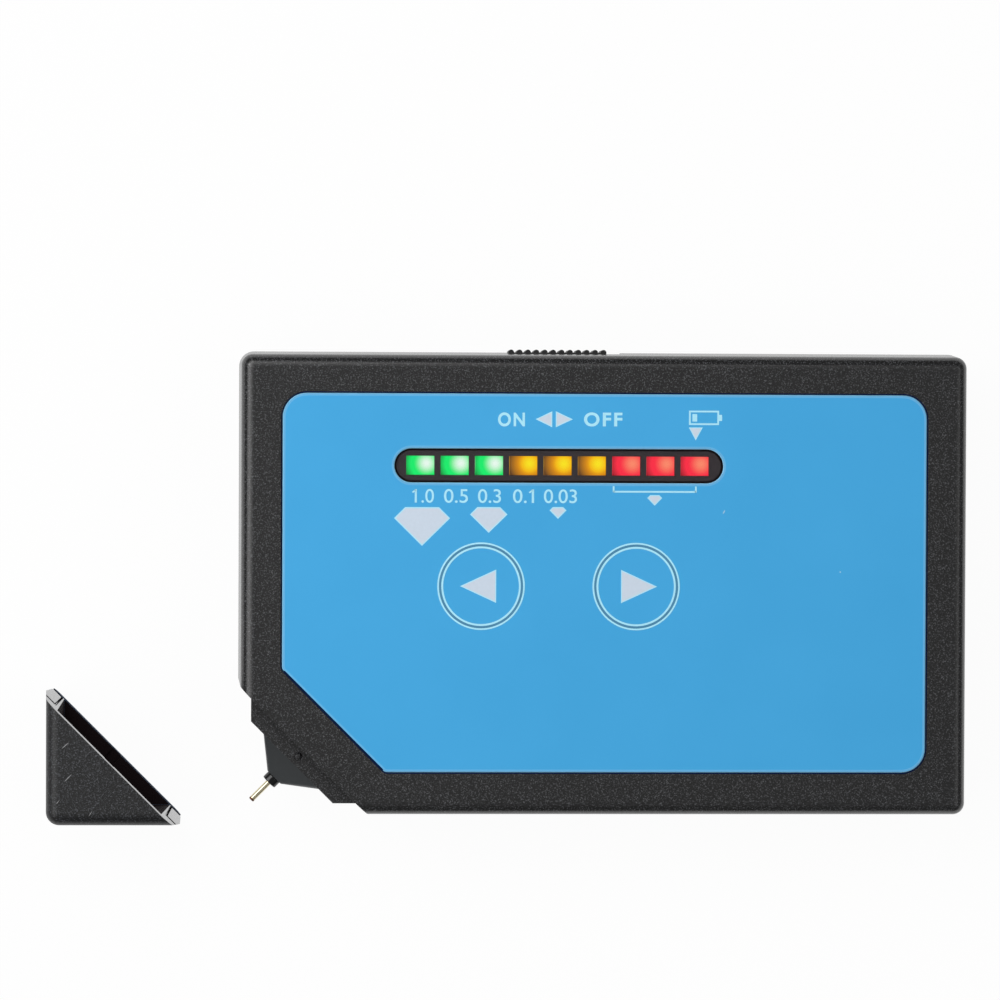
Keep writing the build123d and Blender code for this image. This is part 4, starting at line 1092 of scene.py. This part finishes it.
to_camera = add_node(
    tree, "ShaderNodeMath", {1: camera_share}, {0: path.outputs["Is Camera Ray"]},
    operation="MULTIPLY",
).outputs[0]
mirrored = add_node(
    tree, "ShaderNodeMath",
    links={0: path.outputs["Is Glossy Ray"], 1: path.outputs["Is Transmission Ray"]},
    operation="MAXIMUM",
).outputs[0]
own_light = add_node(
    tree, "ShaderNodeMath", links={0: to_camera, 1: mirrored}, operation="MAXIMUM",
).outputs[0]
paper = add_node(tree, "ShaderNodeBsdfDiffuse", {"Color": linear("#F2F2F2")}).outputs["BSDF"]
shine = add_node(tree, "ShaderNodeEmission", links={"Strength": brightness}).outputs["Emission"]
both = add_node(
    tree, "ShaderNodeMixShader", links={0: own_light, 1: paper, 2: shine},
).outputs["Shader"]
add_node(tree, "ShaderNodeOutputMaterial", links={"Surface": both})
floor.data.materials.append(ground)
print("the floor is", floor.dimensions.x, "m wide")

# %% [markdown]
# ## Sky
# A picture of a studio could light the object, but a plain sky lights it more evenly and has
# only two values to set. It is dim towards the horizon, which keeps the sides of the black case
# dark, and brighter overhead. To the camera and through clear pieces it is white, as the
# ground is.

# %% World
horizon = 0.16
zenith = 0.30
world = bpy.data.worlds.new("soft_sky")
bpy.context.scene.world = world
world.use_nodes = True
tree = world.node_tree
tree.nodes.clear()
path = add_node(tree, "ShaderNodeLightPath")
direct = add_node(
    tree, "ShaderNodeMath",
    links={0: path.outputs["Is Camera Ray"], 1: path.outputs["Is Transmission Ray"]},
    operation="MAXIMUM",
).outputs[0]
way = add_node(tree, "ShaderNodeTexCoord").outputs["Generated"]
steepness = add_node(tree, "ShaderNodeSeparateXYZ", links={"Vector": way}).outputs["Z"]
ceiling = add_node(
    tree, "ShaderNodeMapRange", {"To Min": horizon, "To Max": zenith}, {"Value": steepness},
).outputs["Result"]
strength = add_node(
    tree, "ShaderNodeMath", links={0: ceiling, 1: direct}, operation="MAXIMUM",
).outputs[0]
sky = add_node(tree, "ShaderNodeBackground", links={"Strength": strength}).outputs["Background"]
add_node(tree, "ShaderNodeOutputWorld", links={"Surface": sky})
print("the sky is set")

# %% [markdown]
# ## Lamps
# A soft lamp from the left draws the line along the rounded edge of the case, a second one
# beyond the far left corner lights that corner a little more than the near right one, and a
# weak one fills in from the right. A lamp's power is worked out from its size, so that a lamp
# that is made larger looks as bright as before in the case's shine.

# %% Lamps


def soft_lamp(name, location, size, radiance):
    """An area lamp of a given brightness that points at the middle of the case."""
    bpy.ops.object.select_all(action="DESELECT")
    bpy.ops.object.light_add(type="AREA", location=location)
    lamp = bpy.context.object
    lamp.name = name
    lamp.data.shape = "RECTANGLE"
    lamp.data.size, lamp.data.size_y = size
    lamp.data.energy = radiance * pi * size[0] * size[1]
    lamp.rotation_euler = (-Vector(location)).to_track_quat("-Z", "Y").to_euler()
    print(name, "gives", round(lamp.data.energy, 2), "W")


soft_lamp("left_softbox", (-0.50, -0.05, 0.54), size=(0.85, 0.58), radiance=1.66)
soft_lamp("far_left_softbox", (-0.22, 0.25, 0.40), size=(0.50, 0.40), radiance=2.0)
soft_lamp("right_softbox", (0.42, -0.02, 0.56), size=(0.80, 0.45), radiance=0.85)

# %% [markdown]
# ## Camera
# The photograph looks almost straight down from about 0.6 m, so a long lens gives its weak
# perspective. The camera's place and turn were fitted until the outlines of the case, the film
# and the cap lay on those in the photograph.

# %% Camera
camera_place = Vector((-38.996, 21.655, 598.839))
camera_turn = (-0.92255, -2.32494, 0.23992418)
bpy.ops.object.select_all(action="DESELECT")
bpy.ops.object.camera_add(
    location=camera_place * MM, rotation=[radians(turn) for turn in camera_turn]
)
camera = bpy.context.object
camera.data.lens = 144
camera.data.sensor_width = 36
bpy.context.scene.camera = camera
bpy.context.scene.view_settings.view_transform = "Standard"
print("camera looks from", [round(c, 3) for c in camera.location])
